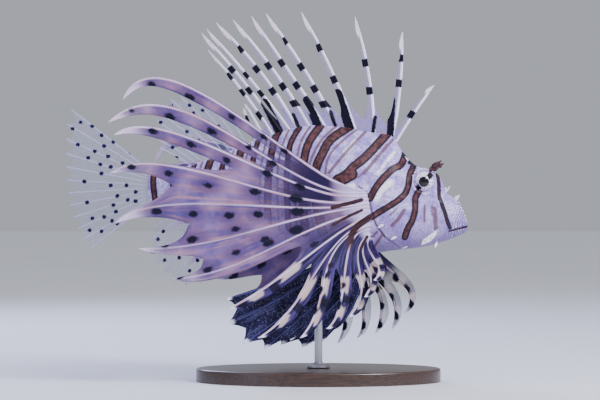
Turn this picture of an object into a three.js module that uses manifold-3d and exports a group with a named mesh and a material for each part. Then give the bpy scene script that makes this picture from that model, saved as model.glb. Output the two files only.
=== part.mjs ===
// Red lionfish, life size, fins spread as in the water, on a plain display stand.
// Millimetres, +X towards the snout, +Y to the fish's left, +Z up.
// The origin is the middle of the stand's underside.
import * as THREE from "three";
import { mergeVertices } from "three/addons/utils/BufferGeometryUtils.js";
import Module from "manifold-3d";

const wasm = await Module();
wasm.setup();
const { Manifold, Mesh } = wasm;
const { degToRad, lerp, clamp } = THREE.MathUtils;

// Sizes of the whole
const AXIS_HEIGHT = 150; // the fish's long axis above the floor
const VIEWER = { x: -14, height: 2, far: 2000 }; // where side views are taken from, to the right
const LEAST_DETAIL = 0.03; // faces and edges smaller than this are merged away
const GAP = 0.3; // kept between pieces that touch
const MEMBRANE = 0.25; // half the thickness of a fin's membrane
const TIP = 0.28; // half the width of a ray's tip
const RIDGE = 1.1; // half the width of a ray's ridge on its membrane

// Body sections from the tail root to the snout, each a slanted ring:
// back x, back height, belly x, belly height, half width
const SECTIONS = [
  [-128.5, 9.8, -128.5, -13.4, 3.2],
  [-117, 10.2, -117, -15, 4.6],
  [-100, 13.4, -101, -19.5, 7],
  [-72, 23.2, -74, -28.8, 12],
  [-42, 35.6, -44, -39.4, 17.5],
  [-10, 44.2, -12, -47.8, 22],
  [18, 43.4, 16, -51.4, 24.5],
  [42, 39, 40, -52.4, 25.2],
  [56, 36.4, 55, -50.7, 24.2],
  [62.5, 26.8, 67, -49.4, 22.2],
  [70, 17.5, 76.5, -48.3, 20],
  [76.5, 12.8, 84, -46.8, 18.2],
  [84, 11, 90, -45.2, 16.6],
  [91, 7.3, 95.5, -43.6, 15],
  [95, 0, 99.8, -42.2, 13.6],
  [96.6, -6, 103.2, -40.8, 12.2],
  [101.2, -9.4, 106.6, -39.4, 10.8],
  [106.8, -13.8, 109.6, -38, 8.8],
  [110.5, -20.5, 111.6, -36.6, 6.2],
  [112.6, -28, 112.9, -35, 2.6],
];
const CLOSE_SECTIONS = 9; // from this section on they stand close enough for one ring each
const RING_POINTS = 26;
const BACK_PINCH = 1.2; // how sharply a section narrows to the back
const BELLY_PINCH = 0.85;

// Eyes
const EYE = { x: 79.3, height: 1.7, y: 10.6, radius: 9.2 };
const LID = { radius: 8.5, tube: 1.3, out: 4.4 };
const ORBIT = { reach: 11.8, rise: 4.6 }; // the swelling that carries the eye

// The head parts from the trunk along the gill cover's rear edge, given as x and height
const GILL_EDGE = [
  [64, 60],
  [62, 36],
  [52, 20],
  [38, 3],
  [39.5, -8],
  [43, -20],
  [50, -34],
  [60, -56],
];
const TAIL_CUT = -104;

// Mouth and lower jaw, in side view
const MOUTH_FRONT = [113.8, -32.2];
const MOUTH_CORNER = [98.8, -35.9];
const THROAT = [86, -47.4];
const LIP = 1.1;

// Pectoral rays from the top one down. A path is a curve's handles and end in side view, each as x
// and height, and its start is the root. spread is how far the tip stands off the flank, web the
// share of the ray that membrane joins to the next one, and lobe the free membrane's width.
const PECTORAL_RAYS = [
  { path: [-3, -9, -122, 127, -149, 64], spread: 58, web: 0.3, lobe: 8.5 },
  { path: [-24, -17, -105, 98, -160, 47], spread: 60, web: 0.36, lobe: 9.5 },
  { path: [-13, -20, -120, 67, -156, 37], spread: 60, web: 0.53, lobe: 9 },
  { path: [-19, -28, -116, 36, -159, 8], spread: 60, web: 0.76, lobe: 8 },
  { path: [-13, -28, -122, 1, -155, -30], spread: 60, web: 0.74, lobe: 8 },
  { path: [-22, -21, -76, -52, -137, -49], spread: 56, web: 0.78, lobe: 6 },
  { path: [-15, -30, -58, -71, -112, -72], spread: 52, web: 0.4, lobe: 6.5 },
  { path: [1, -43, -31, -78, -69, -95], spread: 50, web: 0.45, lobe: 7.5 },
  { path: [-1, -45, -8, -96, -46, -117], spread: 50, web: 0.45, lobe: 7.5 },
  { path: [-9, -50, 14, -90, -14, -117], spread: 48, web: 0.45, lobe: 7.5 },
  { path: [12, -35, 27, -98, 6, -110], spread: 46, web: 0.48, lobe: 7 },
  { path: [17, -58, 47, -75, 23, -101], spread: 46, web: 0.5, lobe: 7 },
  { path: [25, -57, 50, -68, 35, -86], spread: 48, web: 0.55, lobe: 6 },
  { path: [34, -52, 55, -65, 42, -73], spread: 50, web: 0, lobe: 5 },
];
// The line that the pectoral rays spring from, at the flank
const FIN_ROOT = [
  [35, -5],
  [38, -22],
  [37, -42],
];
const FIN_ROOT_SINK = 3;
const FIN_BASE_FLESH = 3.4;
// How the far fin differs from the near one
const LEFT_FIN = {
  turn: [13, 18],
  scale: [0.82, 0.8, 0.76, 0.72, 0.85, 0.95, 1.2, 2],
  spread: [100, 98, 92, 84, 66, 50, 36, 28],
};

// Pelvic fins: where the rays start, and each ray's tip in side view from the top one down
const PELVIC = { x: 29, height: -48, y: 6.5, length: 9, bow: 7, spread: [34, 16] };
const PELVIC_TIPS = {
  right: [
    [-70, -87],
    [-68, -106],
    [-57, -121],
    [-41, -125],
    [-21, -119],
    [-1, -104],
  ],
  left: [
    [-56, -101],
    [-44, -114],
    [-28, -122],
    [-12, -124],
    [3, -120],
    [15, -110],
  ],
};

// Dorsal spines from the front: root x, then the handle and the tip in side view
const DORSAL_SPINES = [
  [58.7, 73, 55, 88, 75],
  [56.2, 65, 76, 64, 116],
  [42.5, 42, 84, 28, 127],
  [29, 12, 89, -13, 131],
  [14.9, -8, 89, -40, 130],
  [6.4, -22, 87, -51, 128],
  [-5.9, -31, 88, -65, 125],
  [-15.4, -40, 88, -78, 123],
  [-20.8, -51, 82, -85, 118],
  [-27.6, -56, 81, -89, 115],
  [-33.7, -56, 72, -84, 102],
  [-41, -48, 50, -56, 61],
  [-46.7, -52, 45, -57, 58],
];
const SPINE_WEB = 0.13;
// The banner of membrane behind each spine: its width, and that of the last three, which stand closer
const BANNER = { wide: 4.6, narrow: 2.8, narrowFrom: 10, blunt: 8 };

// Soft fins: first and last root x, rise and length of rays between
const SOFT_DORSAL = { rays: 11, from: -54, to: -95, rise: [56, 30], lengths: [42, 54, 60, 57, 44, 30] };
const ANAL = { rays: 10, from: -102, to: -66, rise: [-32, -84], lengths: [29, 46, 54, 58, 50, 30] };
const CAUDAL = { rays: 12, rise: [38, -38], lengths: [79, 71, 66, 64, 62, 62] };

// Stand
const BASE = { length: 186, width: 118, thick: 10, edge: 1.5 };
const ROD = { x: 0, radius: 3, flange: 9, flangeThick: 3 };

const SKIN = new THREE.MeshStandardMaterial({ color: 0xd9cfe8, roughness: 0.45, metalness: 0 });
const FIN = new THREE.MeshStandardMaterial({ color: 0xb9a2bd, roughness: 0.5, metalness: 0 });
const DARK_FIN = new THREE.MeshStandardMaterial({ color: 0x3c3560, roughness: 0.5, metalness: 0 });
const SPINE = new THREE.MeshStandardMaterial({ color: 0xcfc4e6, roughness: 0.5, metalness: 0 });
const FLAP = new THREE.MeshStandardMaterial({ color: 0x8a4a4c, roughness: 0.6, metalness: 0 });
const EYEBALL = new THREE.MeshStandardMaterial({ color: 0x0c0a20, roughness: 0.1, metalness: 0 });
const BASE_WOOD = new THREE.MeshStandardMaterial({ color: 0x2b2523, roughness: 0.4, metalness: 0 });
const ROD_METAL = new THREE.MeshStandardMaterial({ color: 0xb8b8bc, roughness: 0.3, metalness: 1 });

const fish = new THREE.Group();

// Turns a closed geometry into a solid, and a solid back into a geometry.
function solidOf(geometry) {
  const bare = geometry.clone();
  for (const name of Object.keys(bare.attributes)) {
    if (name !== "position") bare.deleteAttribute(name);
  }
  const merged = mergeVertices(bare, 1e-4);
  const vertProperties = new Float32Array(merged.attributes.position.array);
  const triVerts = new Uint32Array(merged.index.array);
  const made = new Manifold(new Mesh({ numProp: 3, vertProperties, triVerts }));
  if (made.volume() > 0) return made;
  for (let i = 0; i < triVerts.length; i += 3) {
    [triVerts[i + 1], triVerts[i + 2]] = [triVerts[i + 2], triVerts[i + 1]];
  }
  return new Manifold(new Mesh({ numProp: 3, vertProperties, triVerts }));
}

function geometryOf(solid) {
  const { vertProperties, triVerts } = solid.getMesh();
  const geometry = new THREE.BufferGeometry();
  geometry.setAttribute("position", new THREE.BufferAttribute(vertProperties, 3));
  geometry.setIndex(new THREE.BufferAttribute(triVerts, 1));
  return geometry;
}

// Adds a node, keeping the largest closed surface of its solid.
function addNode(name, solid, material) {
  const bodies = solid.decompose();
  bodies.sort((a, b) => b.volume() - a.volume());
  const mesh = new THREE.Mesh(geometryOf(bodies[0].simplify(LEAST_DETAIL)), material);
  mesh.name = name;
  fish.add(mesh);
}

function moved(geometry, x, y, z) {
  return geometry.translate(x, y, z);
}

// A value between the rows of a table, on a smooth curve through them.
function between(rows, place) {
  const i = clamp(Math.floor(place), 0, rows.length - 2);
  const t = place - i;
  const row = (j) => rows[clamp(j, 0, rows.length - 1)];
  const [p, q, r, s] = [row(i - 1), row(i), row(i + 1), row(i + 2)];
  const blend = (a, b, c, d) =>
    b + 0.5 * t * (c - a + t * (2 * a - 5 * b + 4 * c - d + t * (3 * (b - c) + d - a)));
  return Array.isArray(q)
    ? q.map((_, n) => blend(p[n], q[n], r[n], s[n]))
    : blend(p, q, r, s);
}

// The extra half width that carries the eye.
function orbitRise(x, height) {
  const far = Math.hypot(x - EYE.x, height - EYE.height) / ORBIT.reach;
  return ORBIT.rise * Math.exp(-(far ** 4));
}

// A point on the body's skin: place is the section, angle goes round from the left flank upwards.
function skinPoint(place, angle, grow) {
  const [backX, back, bellyX, belly, half] = between(SECTIONS, place);
  const v = Math.sin(angle);
  const side = Math.cos(angle);
  const x = (backX + bellyX) / 2 + (v * (backX - bellyX)) / 2;
  const height = (back + belly) / 2 + (v * (back - belly + 2 * grow)) / 2;
  const pinch = v > 0 ? BACK_PINCH : BELLY_PINCH;
  const reach = Math.abs(side) ** pinch;
  const y = Math.sign(side) * (reach * (half + grow) + orbitRise(x, height) * Math.sqrt(reach));
  return new THREE.Vector3(x, y, AXIS_HEIGHT + height);
}

// The whole body as one closed skin, grown outwards by a margin.
function bodySolid(grow) {
  const positions = [];
  const index = [];
  const last = SECTIONS.length - 1;
  const places = [];
  for (let place = 0; place <= last; place += place < CLOSE_SECTIONS ? 0.5 : 1) places.push(place);
  const rings = places.length - 1;
  for (const [ring, place] of places.entries()) {
    const ends = (ring === 0 ? -grow : 0) + (ring === rings ? grow : 0);
    for (let n = 0; n < RING_POINTS; n++) {
      const p = skinPoint(place, (n / RING_POINTS) * 2 * Math.PI, grow);
      positions.push(p.x + ends, p.y, p.z);
    }
  }
  const corner = (ring, n) => ring * RING_POINTS + (n % RING_POINTS);
  for (let ring = 0; ring < rings; ring++) {
    for (let n = 0; n < RING_POINTS; n++) {
      const [a, b] = [corner(ring, n), corner(ring, n + 1)];
      const [c, d] = [corner(ring + 1, n + 1), corner(ring + 1, n)];
      index.push(a, b, c, a, c, d);
    }
  }
  const tailEnd = between(SECTIONS, 0);
  const snoutEnd = between(SECTIONS, last);
  const tailPole = positions.length / 3;
  positions.push(tailEnd[0] - grow - 1.5, 0, AXIS_HEIGHT + (tailEnd[1] + tailEnd[3]) / 2);
  positions.push(snoutEnd[0] + grow + 0.9, 0, AXIS_HEIGHT + (snoutEnd[1] + snoutEnd[3]) / 2);
  for (let n = 0; n < RING_POINTS; n++) {
    index.push(tailPole, corner(0, n + 1), corner(0, n));
    index.push(tailPole + 1, corner(rings, n), corner(rings, n + 1));
  }
  const geometry = new THREE.BufferGeometry();
  geometry.setAttribute("position", new THREE.Float32BufferAttribute(positions, 3));
  geometry.setIndex(index);
  return solidOf(geometry);
}

// Finds the place where a rising function of it reaches zero.
function solve(rising, low, high) {
  for (let i = 0; i < 40; i++) {
    const middle = (low + high) / 2;
    if (rising(middle) < 0) low = middle;
    else high = middle;
  }
  return (low + high) / 2;
}

// Half width of the body at a spot of its side view.
function flankAt(x, height) {
  const across = (place) => {
    const [backX, back, bellyX, belly] = between(SECTIONS, place);
    const t = (height - belly) / (back - belly);
    return lerp(bellyX, backX, t) - x;
  };
  const place = solve(across, 0, SECTIONS.length - 1);
  const [, back, , belly] = between(SECTIONS, place);
  const v = clamp((2 * height - back - belly) / (back - belly), -1, 1);
  return Math.abs(skinPoint(place, Math.asin(v), 0).y);
}

const sectionAtBack = (x) => solve((p) => between(SECTIONS, p)[0] - x, 0, SECTIONS.length - 1);
const sectionAtBelly = (x) => solve((p) => between(SECTIONS, p)[2] - x, 0, SECTIONS.length - 1);
const backAt = (x) => between(SECTIONS, sectionAtBack(x))[1];
const bellyAt = (x) => between(SECTIONS, sectionAtBelly(x))[3];

// A flat outline in side view, given as x and height, extruded right across the body.
function sideBlock(outline) {
  const width = 120;
  const shape = new THREE.Shape(outline.map(([x, height]) => new THREE.Vector2(x, height)));
  const block = new THREE.ExtrudeGeometry(shape, { depth: width, bevelEnabled: false });
  block.translate(0, 0, -width / 2).rotateX(Math.PI / 2);
  return solidOf(moved(block, 0, 0, AXIS_HEIGHT));
}

// Everything in front of the gill cover's edge, set back by a margin.
function frontBlock(back) {
  const edge = GILL_EDGE.map(([x, height]) => new THREE.Vector2(x - back, height));
  const curve = new THREE.SplineCurve(edge).getPoints(18).map((p) => [p.x, p.y]);
  return sideBlock([...curve, [140, -60], [140, 60]]);
}

function jawBlock(grow) {
  return sideBlock([
    [MOUTH_FRONT[0] + 10, MOUTH_FRONT[1] + 1.5 + grow],
    [MOUTH_CORNER[0], MOUTH_CORNER[1] + grow],
    [THROAT[0] - grow, THROAT[1] - 4],
    [MOUTH_FRONT[0] + 10, THROAT[1] - 4],
  ]);
}

// The spot at a given depth that a viewer far off to the right sees at a place in the side view.
function seen(x, height, depth) {
  const nearer = 1 + depth / VIEWER.far;
  const shownX = VIEWER.x + (x - VIEWER.x) * nearer;
  const shownHeight = VIEWER.height + (height - VIEWER.height) * nearer;
  return new THREE.Vector3(shownX, depth, AXIS_HEIGHT + shownHeight);
}

// A curve in side view from its start, handles and end, each as x and height.
function curveOf(numbers) {
  const spots = [];
  for (let i = 0; i < numbers.length; i += 2) {
    spots.push(new THREE.Vector2(numbers[i], numbers[i + 1]));
  }
  if (spots.length === 3) return new THREE.QuadraticBezierCurve(...spots);
  return new THREE.CubicBezierCurve(...spots);
}

// One ray along a curve of the side view, with its depth at the root and at the tip.
function rayLine(curve, levels, rootDepth, tipDepth, look) {
  const spots = levels.map((t) => {
    const spot = curve.getPointAt(t);
    return seen(spot.x, spot.y, lerp(rootDepth, tipDepth, t ** 0.9));
  });
  const across = levels.map((t) => {
    const along = curve.getTangentAt(t);
    return new THREE.Vector3(-along.y, 0, along.x);
  });
  return { ...look, levels, spots, across };
}

// A fin as one closed sheet. Each ray has a crest down its middle and membrane on both sides; two
// neighbours share an edge as far as their web, and beyond it each keeps a lobe of its own.
function finSheet(rays, ridge) {
  const last = rays[0].spots.length - 1;
  const positions = [];
  const index = [];
  const pair = (p, normal, half) => {
    const first = positions.length / 3;
    for (const s of [half, -half]) {
      positions.push(p.x + normal.x * s, p.y + normal.y * s, p.z + normal.z * s);
    }
    return first;
  };
  const normalAt = (i, k) => {
    const { spots, across } = rays[i];
    const along = spots[Math.min(k + 1, last)].clone().sub(spots[Math.max(k - 1, 0)]);
    return along.cross(across[k]).normalize();
  };
  const gapAt = (i, k) => rays[i].spots[k].distanceTo(rays[i + 1].spots[k]);
  const webOf = (i) => {
    if (i < 0 || i >= rays.length - 1) return -1;
    return rays[i].levels.findLastIndex((t) => t <= rays[i].web + 0.03);
  };
  const shared = rays.map(() => []);
  const columns = rays.map((ray, i) => {
    const lobeAt = (k, width, neighbour) => {
      const web = webOf(neighbour);
      const t = ray.levels[k];
      const plain = k === last ? TIP : Math.max(TIP, width * (1 - t ** (ray.blunt ?? 4)) ** 0.8);
      if (web < 0) return plain;
      const near = (gapAt(neighbour, web) / 2 - plain) * 0.4 ** (k - web);
      return Math.min(plain + Math.max(0, near), 0.44 * gapAt(neighbour, k));
    };
    return ray.spots.map((spot, k) => {
      const normal = normalAt(i, k);
      const skin = ray.skin(ray.levels[k]);
      const crest = ray.crest(ray.levels[k]);
      const away = (d) => spot.clone().addScaledVector(ray.across[k], d);
      const foreShared = k <= webOf(i - 1);
      const aftShared = k <= webOf(i);
      const fore = foreShared ? gapAt(i - 1, k) / 2 : lobeAt(k, ray.fore, i - 1);
      const aft = aftShared ? gapAt(i, k) / 2 : lobeAt(k, ray.aft, i);
      const column = [];
      column.push(foreShared ? shared[i - 1][k] : pair(away(-fore), normal, skin));
      if (ridge) column.push(pair(away(-Math.min(ridge, 0.6 * fore)), normal, skin));
      column.push(pair(spot, normal, crest));
      if (ridge) column.push(pair(away(Math.min(ridge, 0.6 * aft)), normal, skin));
      if (aftShared) {
        const middle = spot.clone().add(rays[i + 1].spots[k]).divideScalar(2);
        const mean = normal.clone().add(normalAt(i + 1, k)).normalize();
        shared[i][k] = pair(middle, mean, skin);
        column.push(shared[i][k]);
      } else {
        column.push(pair(away(aft), normal, skin));
      }
      return column;
    });
  });
  const quad = (a, b, c, d) => index.push(a, b, c, a, c, d);
  const wall = (a, b) => quad(a, b, b + 1, a + 1);
  rays.forEach((_, i) => {
    for (let k = 0; k < last; k++) {
      const [near, far] = [columns[i][k], columns[i][k + 1]];
      for (let j = 0; j + 1 < near.length; j++) {
        quad(near[j], near[j + 1], far[j + 1], far[j]);
        const [a, b, c, d] = [near[j] + 1, near[j + 1] + 1, far[j + 1] + 1, far[j] + 1];
        index.push(a, c, b, a, d, c);
      }
      if (k >= webOf(i - 1)) wall(near[0], far[0]);
      if (k >= webOf(i)) wall(far.at(-1), near.at(-1));
    }
    const [root, tip] = [columns[i][0], columns[i][last]];
    for (let j = 0; j + 1 < root.length; j++) {
      wall(root[j + 1], root[j]);
      wall(tip[j], tip[j + 1]);
    }
  });
  const geometry = new THREE.BufferGeometry();
  geometry.setAttribute("position", new THREE.Float32BufferAttribute(positions, 3));
  geometry.setIndex(index);
  return solidOf(geometry);
}

const body = bodySolid(0);
const grownBody = bodySolid(GAP);

// Head, jaw, trunk and tail root, parted by thin cuts

function lipTube(drop) {
  const steps = 9;
  const points = [];
  for (const side of [-1, 1]) {
    for (let i = 0; i <= steps; i++) {
      const t = side < 0 ? i / steps : 1 - i / steps;
      const x = lerp(MOUTH_CORNER[0], MOUTH_FRONT[0] - 1.6, Math.sin((t * Math.PI) / 2));
      const height = lerp(MOUTH_CORNER[1], MOUTH_FRONT[1], t) + drop;
      const y = side * (flankAt(x, height) - 0.25) * Math.sqrt(1 - t ** 6);
      if (side < 0 || i > 0) points.push(new THREE.Vector3(x, y, AXIS_HEIGHT + height));
    }
  }
  const path = new THREE.CatmullRomCurve3(points);
  const ring = new THREE.Shape().absarc(0, 0, LIP, 0, 2 * Math.PI);
  const tube = { steps: 16, curveSegments: 3, bevelEnabled: false, extrudePath: path };
  return solidOf(new THREE.ExtrudeGeometry(ring, tube));
}

function eyeBall(side, radius) {
  const ball = new THREE.SphereGeometry(radius, 16, 10).rotateX(Math.PI / 2);
  return solidOf(moved(ball, EYE.x, side * EYE.y, AXIS_HEIGHT + EYE.height));
}

// A tapered fleshy flap from one spot to another, flat across the given width.
function flap(from, to, width, thick, bulge) {
  const levels = [0, 0.35, 0.7, 1];
  const corners = 5;
  const along = to.clone().sub(from);
  const side = new THREE.Vector3(0, 1, 0).cross(along).normalize();
  const face = along.clone().cross(side).normalize();
  const positions = [];
  const index = [];
  levels.forEach((t) => {
    const taper = Math.max(0.12, (1 - t ** 2.5) * (1 + bulge * Math.sin(Math.PI * t)));
    const centre = from.clone().addScaledVector(along, t);
    for (let n = 0; n < corners; n++) {
      const a = (n / corners) * 2 * Math.PI;
      const p = centre.clone();
      p.addScaledVector(side, (Math.cos(a) * width * taper) / 2);
      p.addScaledVector(face, (Math.sin(a) * thick * Math.max(taper, 0.4)) / 2);
      positions.push(p.x, p.y, p.z);
    }
  });
  for (let k = 0; k + 1 < levels.length; k++) {
    for (let n = 0; n < corners; n++) {
      const [a, b] = [k * corners + n, k * corners + ((n + 1) % corners)];
      index.push(a, b, b + corners, a, b + corners, a + corners);
    }
  }
  const end = (levels.length - 1) * corners;
  for (let n = 1; n + 1 < corners; n++) {
    index.push(0, n + 1, n);
    index.push(end, end + n, end + n + 1);
  }
  const geometry = new THREE.BufferGeometry();
  geometry.setAttribute("position", new THREE.Float32BufferAttribute(positions, 3));
  geometry.setIndex(index);
  return solidOf(geometry);
}

// A spot of the skin seen from the side, moved out from it by a margin.
function onFlank(x, height, side, out) {
  return new THREE.Vector3(x, side * (flankAt(x, height) + out), AXIS_HEIGHT + height);
}

// Fleshy flaps along the cheek's lower edge: root x, root height, length
const CHEEK_FLAPS = [
  [50, -29.5, 7],
  [60, -38.5, 7],
  [68, -46, 6],
];
const NOSTRILS = [
  [93.2, -3],
  [97.5, -10.5],
];
const NAPE_SPINE = { x: 68, height: 14 };
const SNOUT_FLAPS = [
  [97.5, -6.5, 6],
  [105.5, -12, 5],
];

// The raised rim of flesh round an eye.
function lidRing(side) {
  const { radius, tube, out } = LID;
  const ring = new THREE.TorusGeometry(radius, tube, 5, 16).rotateX(Math.PI / 2);
  return solidOf(moved(ring, EYE.x, side * (EYE.y + out), AXIS_HEIGHT + EYE.height));
}

function nostril([x, height], side) {
  const pit = onFlank(x, height, side, 0.2);
  return solidOf(moved(new THREE.IcosahedronGeometry(1.2, 0), pit.x, pit.y, pit.z));
}

function headSolid() {
  let head = body.intersect(frontBlock(0)).subtract(jawBlock(GAP));
  head = head.add(lipTube(LIP + GAP / 2).subtract(jawBlock(GAP)));
  for (const side of [-1, 1]) {
    head = head.add(lidRing(side));
    for (const pit of NOSTRILS) head = head.subtract(nostril(pit, side));
    const nape = new THREE.Vector3(NAPE_SPINE.x, side * 4.5, AXIS_HEIGHT + NAPE_SPINE.height);
    const napeTip = nape.clone().add(new THREE.Vector3(-3, side * 1.5, 7));
    head = head.add(flap(nape, napeTip, 3.4, 2.4, 0));
    for (const [x, height, length] of CHEEK_FLAPS) {
      const root = onFlank(x, height, side, -1);
      const tip = onFlank(x - length * 0.8, height - length * 0.5, side, 1.6);
      head = head.add(flap(root, tip, 2.6, 1.2, 0.3));
    }
    for (const [x, height, length] of SNOUT_FLAPS) {
      const root = onFlank(x - 1.5, height - 1, side, -1).setY(side * 5);
      const tip = root.clone().add(new THREE.Vector3(length * 0.7, side * 1.5, length));
      head = head.add(flap(root, tip, 2.4, 1.1, 0.4));
    }
    head = head.subtract(eyeBall(side, EYE.radius + GAP));
  }
  return head.subtract(grownBody.subtract(frontBlock(GAP)));
}

addNode("head", headSolid(), SKIN);
const lowerLip = lipTube(-LIP - GAP / 2).intersect(jawBlock(0));
addNode("lower_jaw", body.intersect(jawBlock(0)).add(lowerLip), SKIN);
const trunk = body.subtract(frontBlock(GAP));
addNode("trunk", trunk.trimByPlane([1, 0, 0], TAIL_CUT + GAP / 2), SKIN);
addNode("tail_root", trunk.trimByPlane([-1, 0, 0], -(TAIL_CUT - GAP / 2)), SKIN);

const SIDES = { right: -1, left: 1 };
for (const [word, side] of Object.entries(SIDES)) {
  addNode(`eye_${word}`, eyeBall(side, EYE.radius), EYEBALL);

  // The leafy tentacle over the eye, and the long flap at the corner of the mouth
  const brow = new THREE.Vector3(83.5, side * 8, AXIS_HEIGHT + 9);
  const browTip = new THREE.Vector3(94, side * 11, AXIS_HEIGHT + 17.5);
  const leaf = flap(brow, browTip, 5.2, 1.6, 0.6).subtract(eyeBall(side, EYE.radius + GAP));
  addNode(`brow_tentacle_${word}`, leaf.subtract(grownBody), FLAP);
  const cheek = onFlank(90, -34, side, -1);
  const cheekTip = onFlank(77, -47, side, 4);
  const mouthFlap = flap(cheek, cheekTip, 4.2, 1.4, 0.5).subtract(grownBody);
  addNode(`mouth_tentacle_${word}`, mouthFlap, FLAP);
}

// Pectoral fins

const PECTORAL_BLUNT = 7; // the higher, the later a free ray's membrane narrows
const PECTORAL_LEVELS = [0, 0.08, 0.18, 0.3, 0.42, 0.53, 0.64, 0.75, 0.85, 0.94, 1];

for (const [word, side] of Object.entries(SIDES)) {
  const rays = PECTORAL_RAYS.map(({ path, spread, web, lobe }, i) => {
    const t = i / (PECTORAL_RAYS.length - 1);
    const [x, height] = between(FIN_ROOT, t * (FIN_ROOT.length - 1));
    const left = side > 0;
    const turn = degToRad(left ? lerp(...LEFT_FIN.turn, t) : 0);
    const row = (values) => between(values, t * (values.length - 1));
    const scale = left ? row(LEFT_FIN.scale) : 1;
    const off = left ? row(LEFT_FIN.spread) : spread;
    const numbers = [x, height];
    for (let n = 0; n < path.length; n += 2) {
      const arm = new THREE.Vector2(path[n] - x, path[n + 1] - height);
      arm.rotateAround(new THREE.Vector2(), turn).multiplyScalar(scale);
      numbers.push(x + arm.x, height + arm.y);
    }
    const curve = curveOf(numbers);
    const rootDepth = side * (flankAt(x, height) - FIN_ROOT_SINK);
    const flesh = (u) => {
      const left = Math.max(0, 1 - (u * curve.getLength()) / 28);
      return FIN_BASE_FLESH * left ** 1.5;
    };
    return rayLine(curve, PECTORAL_LEVELS, rootDepth, rootDepth + side * off, {
      web,
      fore: 1.4,
      aft: lobe,
      blunt: PECTORAL_BLUNT,
      skin: (u) => MEMBRANE + flesh(u),
      crest: (u) => lerp(0.95, TIP, u) + flesh(u),
    });
  });
  addNode(`pectoral_fin_${word}`, finSheet(rays, RIDGE).subtract(grownBody), FIN);
}

// Pelvic fins

const PELVIC_LEVELS = [0, 0.18, 0.38, 0.58, 0.77, 0.93, 1];
for (const [word, side] of Object.entries(SIDES)) {
  const tips = PELVIC_TIPS[word];
  const rays = tips.map(([tipX, tipHeight], i) => {
    const t = i / (tips.length - 1);
    const x = PELVIC.x + PELVIC.length * t;
    const height = PELVIC.height;
    const middle = [(x + tipX) / 2 + PELVIC.bow * t, (height + tipHeight) / 2 - PELVIC.bow];
    const curve = curveOf([x, height, ...middle, tipX, tipHeight]);
    const tipDepth = PELVIC.y + lerp(...PELVIC.spread, t);
    return rayLine(curve, PELVIC_LEVELS, side * PELVIC.y, side * tipDepth, {
      web: 0.93,
      fore: 1.6,
      aft: 1.6,
      skin: () => MEMBRANE,
      crest: (u) => lerp(0.95, TIP, u),
    });
  });
  addNode(`pelvic_fin_${word}`, finSheet(rays, RIDGE).subtract(grownBody), DARK_FIN);
}

// Spiny dorsal fin: thirteen spines, each with a banner of membrane behind it

const SPINE_LEVELS = [0, 0.07, 0.13, 0.25, 0.42, 0.6, 0.78, 0.9, 1];
const spines = DORSAL_SPINES.map(([x, ...path], i) => {
  const curve = curveOf([x, backAt(x) - 2.5, ...path]);
  return rayLine(curve, SPINE_LEVELS, 0, 0, {
    web: SPINE_WEB,
    fore: 0.8,
    aft: i < BANNER.narrowFrom ? BANNER.wide : BANNER.narrow,
    blunt: BANNER.blunt,
    skin: () => MEMBRANE,
    crest: (u) => lerp(1, TIP, u),
  });
});
addNode("dorsal_spines", finSheet(spines, 0).subtract(grownBody), SPINE);

// Soft fins along the middle line

const SOFT_LEVELS = [0, 0.25, 0.5, 0.75, 0.92, 1];
function softRay(x, height, rise, length, bend) {
  const reach = (share, angle) => [
    x - length * share * Math.cos(degToRad(angle)),
    height + length * share * Math.sin(degToRad(angle)),
  ];
  const curve = curveOf([x, height, ...reach(0.5, rise - bend), ...reach(1, rise)]);
  return rayLine(curve, SOFT_LEVELS, 0, 0, {
    web: 0.92,
    fore: 1.2,
    aft: 1.4,
    skin: () => MEMBRANE,
    crest: (u) => lerp(0.8, TIP, u),
  });
}

function softFin({ rays, from, to, rise, lengths }, surface, bend) {
  return Array.from({ length: rays }, (_, i) => {
    const t = i / (rays - 1);
    const x = lerp(from, to, t);
    const length = between(lengths, t * (lengths.length - 1));
    return softRay(x, surface(x), lerp(rise[0], rise[1], t), length, bend);
  });
}

const softDorsal = softFin(SOFT_DORSAL, (x) => backAt(x) - 2, -5);
addNode("soft_dorsal_fin", finSheet(softDorsal, 0).subtract(grownBody), FIN);
const anal = softFin(ANAL, (x) => bellyAt(x) + 2, 5);
addNode("anal_fin", finSheet(anal, 0).subtract(grownBody), FIN);

const caudal = Array.from({ length: CAUDAL.rays }, (_, i) => {
  const t = i / (CAUDAL.rays - 1);
  const [x, back, , belly] = SECTIONS[0];
  const height = lerp(back - 1, belly + 1, t);
  const length = between(CAUDAL.lengths, t * (CAUDAL.lengths.length - 1));
  return softRay(x + 2, height, lerp(CAUDAL.rise[0], CAUDAL.rise[1], t), length, 0);
});
addNode("caudal_fin", finSheet(caudal, 0).subtract(grownBody), FIN);

// Stand: a flat oval base and one rod up to the belly

function baseSolid() {
  const { length, width, thick, edge } = BASE;
  const oval = new THREE.Shape();
  oval.absellipse(0, 0, length / 2 - edge, width / 2 - edge, 0, 2 * Math.PI);
  const slab = new THREE.ExtrudeGeometry(oval, {
    depth: thick - edge,
    curveSegments: 40,
    bevelThickness: edge,
    bevelSize: edge,
    bevelSegments: 2,
  });
  const cut = solidOf(slab).trimByPlane([0, 0, 1], 0);
  return cut;
}

function rodSolid() {
  const foot = BASE.thick + GAP;
  const top = AXIS_HEIGHT + bellyAt(ROD.x) + 4;
  const profile = [
    [0, foot],
    [ROD.flange, foot],
    [ROD.flange, foot + ROD.flangeThick],
    [ROD.radius, foot + ROD.flangeThick + 1.5],
    [ROD.radius, top],
    [0, top],
  ].map(([r, z]) => new THREE.Vector2(r, z));
  const rod = new THREE.LatheGeometry(profile, 20).rotateX(Math.PI / 2);
  return solidOf(moved(rod, ROD.x, 0, 0)).subtract(grownBody);
}

addNode("stand_base", baseSolid(), BASE_WOOD);
addNode("stand_rod", rodSolid(), ROD_METAL);

export default fish;
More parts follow.
